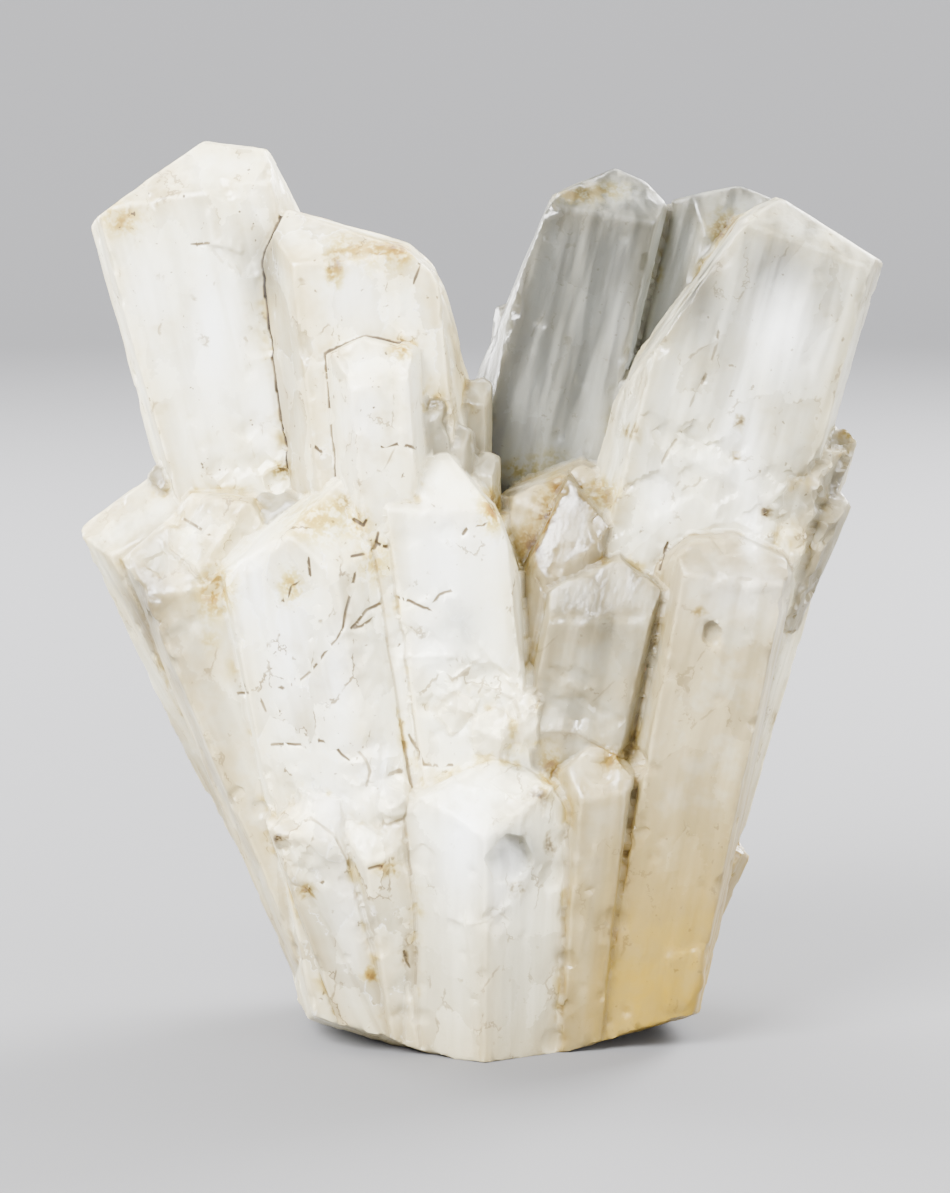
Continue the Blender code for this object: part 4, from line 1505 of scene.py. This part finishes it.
def calcite_body(tree, colours, values, clouds, patches, cell_tone):
    """The crystal itself: milky or creamy, dull or with painted shade, with painted glow on its brightest
    places, and amber at its foot.
    """
    warm = times(tree, values["warm"], mapped(tree, patches, 0.35, 0.62, 0.45, 1.35))
    rim = mapped(tree, values["edge"], 0.0, 1.0, 0.0, 0.4)
    body = mixed(tree, plus(tree, warm, rim), tuple(colours.milky), tuple(colours.cream))
    dullness = calcite_dullness(tree, values, clouds, cell_tone)
    # Duller crystals, and painted shade in seams and at the dim spots, by the shade tint
    body = darkened(tree, dullness, body, tuple(colours.shadow))
    clearness = times(tree, values["clear"], mapped(tree, clouds, 0.6, 0.36, 0.72, 0.98))
    body = darkened(tree, clearness, body, tuple(colours.clear_grey))
    # Painted glow: the brightest places are mixed towards a cool white
    painted_glow = times(tree, values["painted_glow"], mapped(tree, clouds, 0.3, 0.6, 0.45, 0.95))
    body = mixed(tree, painted_glow, body, tuple(colours.core))
    amber = times(tree, values["amber"], mapped(tree, patches, 0.62, 0.36, 0.75, 1.05))
    return mixed(tree, amber, body, tuple(colours.amber))


def calcite_marks(tree, colours, values, body, mottle, patches, border):
    """Stains, grubby patches, specks and fine lines over the body colour. Returns the colour, the
    dark marks and how much of the surface is covered."""
    mottled = mapped(tree, mottle, 0.38, 0.6, 0.25, 1.4)
    in_seams = times(tree, values["seam"], mapped(tree, patches, 0.52, 0.68, 0.0, 0.42))
    stained = larger(tree, times(tree, values["stain"], mottled), in_seams)
    body = darkened(tree, stained, body, tuple(colours.stain))
    grubby = times(tree, values["pitted"], mapped(tree, patches, 0.56, 0.72, 0.0, 0.3))
    body = darkened(tree, grubby, body, tuple(colours.grubby))
    line = mapped(tree, border, 0.03, 0.012)
    healed = times(tree, line, mapped(tree, patches, 0.5, 0.4, 0.0, 0.35))
    healed = times(tree, healed, mapped(tree, values["cracked"], 0.25, 0.6))
    body = mixed(tree, healed, body, tuple(colours.core))
    hairlines = times(tree, line, mapped(tree, patches, 0.55, 0.61, 0.0, 0.5))
    hairlines = times(tree, hairlines, values["cracked"])
    specks = times(tree, mapped(tree, mottle, 0.68, 0.74, 0.0, 0.6), values["pitted"])
    dark = times(tree, values["dark"], mottled)
    dirt = times(tree, values["dirt"], mapped(tree, values["away"], 0.95, 0.3))
    marks = larger(tree, larger(tree, specks, hairlines), larger(tree, dark, dirt))
    covered = number_of(tree, "MINIMUM", larger(tree, marks, stained), 1.0)
    return darkened(tree, marks, body, tuple(colours.dark)), marks, covered


def calcite_relief(tree, place, grain):
    """Fine ribs, growth lines and grit that are too small for the mesh."""
    ribs = noise_of(tree, grain, (0.6, 0.6, 12), 0.0)
    grit = noise_of(tree, place, (0.5, 0.5, 0.5), 1.0, 0.62)
    height = plus(tree, ribs, times(tree, grit, 0.6))
    inputs = {"Height": height, "Strength": 0.4, "Distance": FINEST_RELIEF * MM}
    return add_node(tree, "Bump", inputs).outputs["Normal"]


def calcite_material(colours):
    """Translucent calcite: milky crystals that light sinks into, and clear ones to look through."""
    material = bpy.data.materials.new("calcite")
    material.use_nodes = True
    tree = material.node_tree
    tree.nodes.clear()
    values = {name: attribute(tree, name) for name in SURFACE_VALUES}
    metres = add_node(tree, "TexCoord", {}).outputs["Object"]
    place = scaled(tree, metres, (MM, MM, MM))
    grain = add_node(tree, "Attribute", {}, attribute_name="grain").outputs["Vector"]
    clouds = noise_of(tree, grain, (2.8, 2.8, 24), 2.0, 0.6, 0.2)
    patches = noise_of(tree, place, (5.5, 5.5, 5.5), 3.0, 0.66)
    mottle = noise_of(tree, place, (1.2, 1.2, 1.2), 2.0, 0.7)
    cell_tone, border = cells_of(tree, grain, mottle, patches)
    body = calcite_body(tree, colours, values, clouds, patches, cell_tone)
    colour, marks, covered = calcite_marks(tree, colours, values, body, mottle, patches, border)
    glass = times(tree, values["clear"], mapped(tree, clouds, 0.34, 0.62, 0.85, 0.6))
    glass = larger(tree, number_of(tree, "SUBTRACT", glass, LEAST_CLEAR), 0.0)
    bare = number_of(tree, "SUBTRACT", 1.0, covered)
    roughness = mapped(tree, clouds, 0.35, 0.62, colours.smoothest, colours.roughest)
    shader = add_node(
        tree, "BsdfPrincipled",
        {
            "Base Color": colour,
            "Roughness": plus(tree, roughness, times(tree, marks, 0.4)),
            "IOR": colours.bending,
            "Normal": calcite_relief(tree, place, grain),
            "Transmission Weight": times(tree, glass, bare),
            "Subsurface Weight": times(tree, bare, colours.depth_share),
            "Subsurface Radius": GLOW_SPREAD,
            "Subsurface Scale": colours.depth,
        },
    )
    shader.subsurface_method = "BURLEY"
    inside = {"Color": tuple(colours.inside), "Density": colours.absorption}
    absorption = add_node(tree, "VolumeAbsorption", inputs=inside)
    outputs = {"Surface": shader.outputs["BSDF"], "Volume": absorption.outputs["Volume"]}
    add_node(tree, "OutputMaterial", outputs)
    return material


def plain_material(name, tone, roughness):
    """One even colour, for the floor."""
    material = bpy.data.materials.new(name)
    material.use_nodes = True
    shader = material.node_tree.nodes["Principled BSDF"]
    shader.inputs["Base Color"].default_value = tone
    shader.inputs["Roughness"].default_value = roughness
    return material


def colour_setting(name, description, default):
    """A colour for a user to change."""
    shown = {"name": name, "description": description, "subtype": "COLOR"}
    return FloatVectorProperty(**shown, size=4, min=0, max=1, default=(*default, 1.0))


def share_setting(name, description, default):
    """A share from 0 to 1 for a user to change."""
    shown = {"name": name, "description": description, "subtype": "FACTOR"}
    return FloatProperty(**shown, min=0, max=1, default=default)


def length_setting(name, description, default, least=0.0):
    """A length in metres for a user to change."""
    shown = {"name": name, "description": description, "subtype": "DISTANCE", "unit": "LENGTH"}
    return FloatProperty(**shown, min=least, default=default)


def number_setting(name, description, default, least=0.0):
    """A plain number for a user to change."""
    return FloatProperty(name=name, description=description, min=least, default=default)


def power_setting(name, description, default):
    """A light's power in watts for a user to change."""
    return FloatProperty(name=name, description=description, unit="POWER", min=0, default=default)


class CalciteFinish(bpy.types.PropertyGroup):
    """Colours and clearness of the crystals. Some are colours of their own, and the others are
    what the colour beneath is multiplied by."""

    milky: colour_setting("Milky", "Colour of the white crystals", (0.93, 0.92, 0.74))
    # Core is the cool white of the painted glow, and of the healed lines
    core: colour_setting("Core", "Colour of the brightest, coolest parts", (0.97, 0.99, 0.97))
    cream: colour_setting("Cream", "Colour of the creamy crystals", (0.76, 0.66, 0.38))
    amber: colour_setting("Amber", "Colour at the lower right", (0.25, 0.155, 0.004))
    clear_grey: colour_setting("Clear grey", "Multiplier of clear crystal", (0.115, 0.125, 0.155))
    # Shadow darkens the duller crystals, and gives the painted shade along seams and at the dim spots
    shadow: colour_setting("Shadow", "Multiplier of dull crystal", (0.25, 0.22, 0.17))
    stain: colour_setting("Stain", "Multiplier of golden brown stains", (0.3, 0.17, 0.012))
    dark: colour_setting("Dark", "Multiplier of dirt in cracks and pits", (0.03, 0.018, 0.007))
    grubby: colour_setting("Grubby", "Multiplier of faint dirty patches", (0.4, 0.32, 0.18))
    inside: colour_setting("Inside", "Colour that the inside lets through", (0.82, 0.86, 0.88))
    absorption: number_setting("Absorption", "How strongly the inside takes light in, per metre", 14.0)
    bending: number_setting("IOR", "How strongly the crystal bends light", 1.6, 1.0)
    depth: length_setting("Glow depth", "How far light spreads below the surface", 0.0011)
    depth_share: share_setting("Glow", "Share of the light that spreads below the surface", 0.8)
    smoothest: share_setting("Smoothest", "Roughness where the faces are glossy", 0.28)
    roughest: share_setting("Roughest", "Roughness where the faces are frosted", 0.5)


class CalciteSurface(bpy.types.PropertyGroup):
    """How finely the crystals are made."""

    voxel: length_setting("Grain size", "Size of the small faces of the first skin", 0.00046, 0.0003)


class CalciteStage(bpy.types.PropertyGroup):
    """Floor, lights and camera."""

    floor_tone: colour_setting("Floor", "Colour of the floor and wall", (0.12, 0.12, 0.125))
    floor_radius: length_setting("Floor radius", "From the middle of the floor to its wall", 1.9, 0.5)
    wall_height: length_setting("Wall height", "How high the wall round the floor stands", 1.6, 0.2)
    key_power: power_setting("Key light", "Power of the light at the front", 84)
    fill_power: power_setting("Fill light", "Power of the light at the right", 20)
    rim_power: power_setting("Rim light", "Power of the lights behind", 48)
    wall_power: power_setting("Wall light", "Power of the light on the wall", 120)
    sky: number_setting("Sky", "Strength of the even light from all round", 0.7)
    rounds: IntProperty(name="Floor sides", description="Sides of the round floor", min=24, default=96)


class CALCITE_OT_grow_cluster(bpy.types.Operator):
    """Build the crystals, joined, weathered and stained"""

    bl_idname = "calcite.grow_cluster"
    bl_label = "Grow the cluster"

    def execute(self, context):
        mesh, solids, cutters = joined_crystals(context.scene.calcite_surface.voxel)
        points = read_points(mesh)
        reading = settle(points, solids, cutters)
        write_points(mesh, points)
        picture = Picture()
        surface = surface_tree(mesh)
        points += reading.outward * growth_relief(points, reading, solids)[:, None]
        raise_plates(points, reading, picture, surface)
        carve_surface(points, reading, solids, picture, surface)
        points[:, 2] = np.maximum(points[:, 2], 0.0)
        write_points(mesh, points)
        mesh = thinned(mesh)
        surface = surface_tree(mesh)
        refine_cracks(mesh, solids, cutters, picture, surface)
        dirt, away = cut_cracks(mesh, solids, cutters, picture, surface)
        paint_values(mesh, dirt, away, solids, cutters, picture, surface)
        mesh.shade_smooth()
        mesh.set_sharp_from_angle(angle=math.radians(SHARP_ANGLE))
        mesh.materials.clear()
        mesh.materials.append(calcite_material(context.scene.calcite_finish))
        crystals = bpy.data.objects.new(PIECE_NAME, mesh)
        context.scene.collection.objects.link(crystals)
        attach(crystals, "root")
        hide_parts(NODE_NAME)
        return {"FINISHED"}


@dataclass
class Lamp:
    """A square soft light: its place and size in metres, the setting that holds its power, what
    share of that it gives, and the point that it looks at."""

    name: str
    place: tuple
    size: float
    power: str
    share: float = 1.0
    aim: tuple = (0, 0, 0.055)


LAMPS = (
    Lamp("key", (-0.5, -0.75, 0.75), 0.6, "key_power"),
    Lamp("fill", (0.85, -0.5, 0.35), 0.7, "fill_power"),
    Lamp("rim_right", (0.6, 0.65, 0.55), 0.5, "rim_power"),
    Lamp("rim_left", (-0.7, 0.55, 0.3), 0.5, "rim_power", share=0.6),
    Lamp("wall_light", (0, 0.7, 1.25), 1.4, "wall_power", aim=(0, 1.9, 0.1)),
)

# The bend between floor and wall: its radius in metres and its steps; and the floor's roughness
FLOOR_BEND = 0.5
BEND_STEPS = 10
FLOOR_ROUGHNESS = 0.8


def add_lamp(lamp, power):
    """Hang one light where it belongs."""
    light = bpy.data.lights.new(lamp.name, "AREA")
    light.shape = "SQUARE"
    light.size = lamp.size
    light.energy = lamp.share * power
    hung = bpy.data.objects.new(lamp.name, light)
    hung.location = lamp.place
    hung.rotation_euler = (Vector(lamp.aim) - Vector(lamp.place)).to_track_quat("-Z", "Y").to_euler()
    bpy.context.scene.collection.objects.link(hung)


def add_camera():
    """The camera, at the photograph's viewing angle."""
    picture = Picture()
    camera = bpy.data.objects.new("camera", bpy.data.cameras.new("camera"))
    camera.data.sensor_width = SENSOR_SIZE
    camera.data.lens = picture.focal / PICTURE_HEIGHT * SENSOR_SIZE
    camera.data.clip_start = 0.01
    camera.location = picture.eye * MM
    camera.rotation_euler = Vector(-picture.back).to_track_quat("-Z", "Y").to_euler()
    bpy.context.scene.collection.objects.link(camera)
    bpy.context.scene.camera = camera


def floor_mesh(stage):
    """A round floor that curves up into a low wall, turned from its profile."""
    shape = bmesh.new()
    flat = stage.floor_radius - FLOOR_BEND
    profile = [(0.0, 0.0), (flat, 0.0)]
    for step in range(1, BEND_STEPS + 1):
        angle = math.radians(90 * step / BEND_STEPS)
        profile.append((flat + FLOOR_BEND * math.sin(angle), FLOOR_BEND - FLOOR_BEND * math.cos(angle)))
    profile.append((stage.floor_radius, stage.wall_height))
    corners = [shape.verts.new((x, 0, z)) for x, z in profile]
    runs = [shape.edges.new(pair) for pair in zip(corners, corners[1:])]
    bmesh.ops.spin(
        shape, geom=corners + runs, cent=(0, 0, 0), axis=(0, 0, 1), angle=math.tau,
        steps=stage.rounds, use_merge=True,
    )
    bmesh.ops.remove_doubles(shape, verts=shape.verts, dist=0.1 * MM)
    bmesh.ops.recalc_face_normals(shape, faces=shape.faces)
    mesh = bpy.data.meshes.new("floor")
    shape.to_mesh(mesh)
    shape.free()
    mesh.shade_smooth()
    return mesh


class CALCITE_OT_build_stage(bpy.types.Operator):
    """Build the floor, the lights and the camera"""

    bl_idname = "calcite.build_stage"
    bl_label = "Build the stage"

    def execute(self, context):
        stage = context.scene.calcite_stage
        floor = bpy.data.objects.new("floor", floor_mesh(stage))
        floor.data.materials.append(plain_material("floor", tuple(stage.floor_tone), FLOOR_ROUGHNESS))
        context.scene.collection.objects.link(floor)
        floor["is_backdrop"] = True
        for lamp in LAMPS:
            add_lamp(lamp, getattr(stage, lamp.power))
        world = bpy.data.worlds.new("studio")
        world.use_nodes = True
        background = world.node_tree.nodes["Background"]
        background.inputs["Strength"].default_value = stage.sky
        background.inputs["Color"].default_value = (1, 1, 1, 1)
        context.scene.world = world
        add_camera()
        return {"FINISHED"}


class CALCITE_PT_builder(bpy.types.Panel):
    """Settings and steps for the calcite cluster"""

    bl_idname = "CALCITE_PT_builder"
    bl_label = "Calcite cluster"
    bl_space_type = "VIEW_3D"
    bl_region_type = "UI"
    bl_category = "Calcite"

    def draw(self, context):
        column = self.layout.column(align=True)
        column.operator(CALCITE_OT_grow_cluster.bl_idname)
        column.operator(CALCITE_OT_build_stage.bl_idname)
        for name in SETTINGS:
            group = getattr(context.scene, name)
            box = self.layout.box()
            for setting in group.bl_rna.properties:
                if setting.identifier not in ("name", "rna_type"):
                    box.prop(group, setting.identifier)


SETTINGS = {
    "calcite_finish": CalciteFinish,
    "calcite_surface": CalciteSurface,
    "calcite_stage": CalciteStage,
}

CLASSES = (
    *SETTINGS.values(),
    CALCITE_OT_grow_cluster,
    CALCITE_OT_build_stage,
    CALCITE_PT_builder,
)


def register():
    """Let the program know the settings, the steps and the panel."""
    for made in CLASSES:
        bpy.utils.register_class(made)
    for name, group in SETTINGS.items():
        setattr(bpy.types.Scene, name, PointerProperty(type=group))


def unregister():
    """Take them away again."""
    for name in SETTINGS:
        delattr(bpy.types.Scene, name)
    for made in reversed(CLASSES):
        bpy.utils.unregister_class(made)


def write_sizes():
    """Work out the solids' box and the finished piece's box side by side; neither is kept."""
    boxes = {"cad": cad_box, "visual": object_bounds()}
    boxes = {name: [list(corner) for corner in box] for name, box in boxes.items()}


def main():
    """Build everything, in order."""
    register()
    bpy.ops.calcite.grow_cluster()
    bpy.ops.calcite.build_stage()
    write_sizes()


if __name__ == "__main__":
    main()
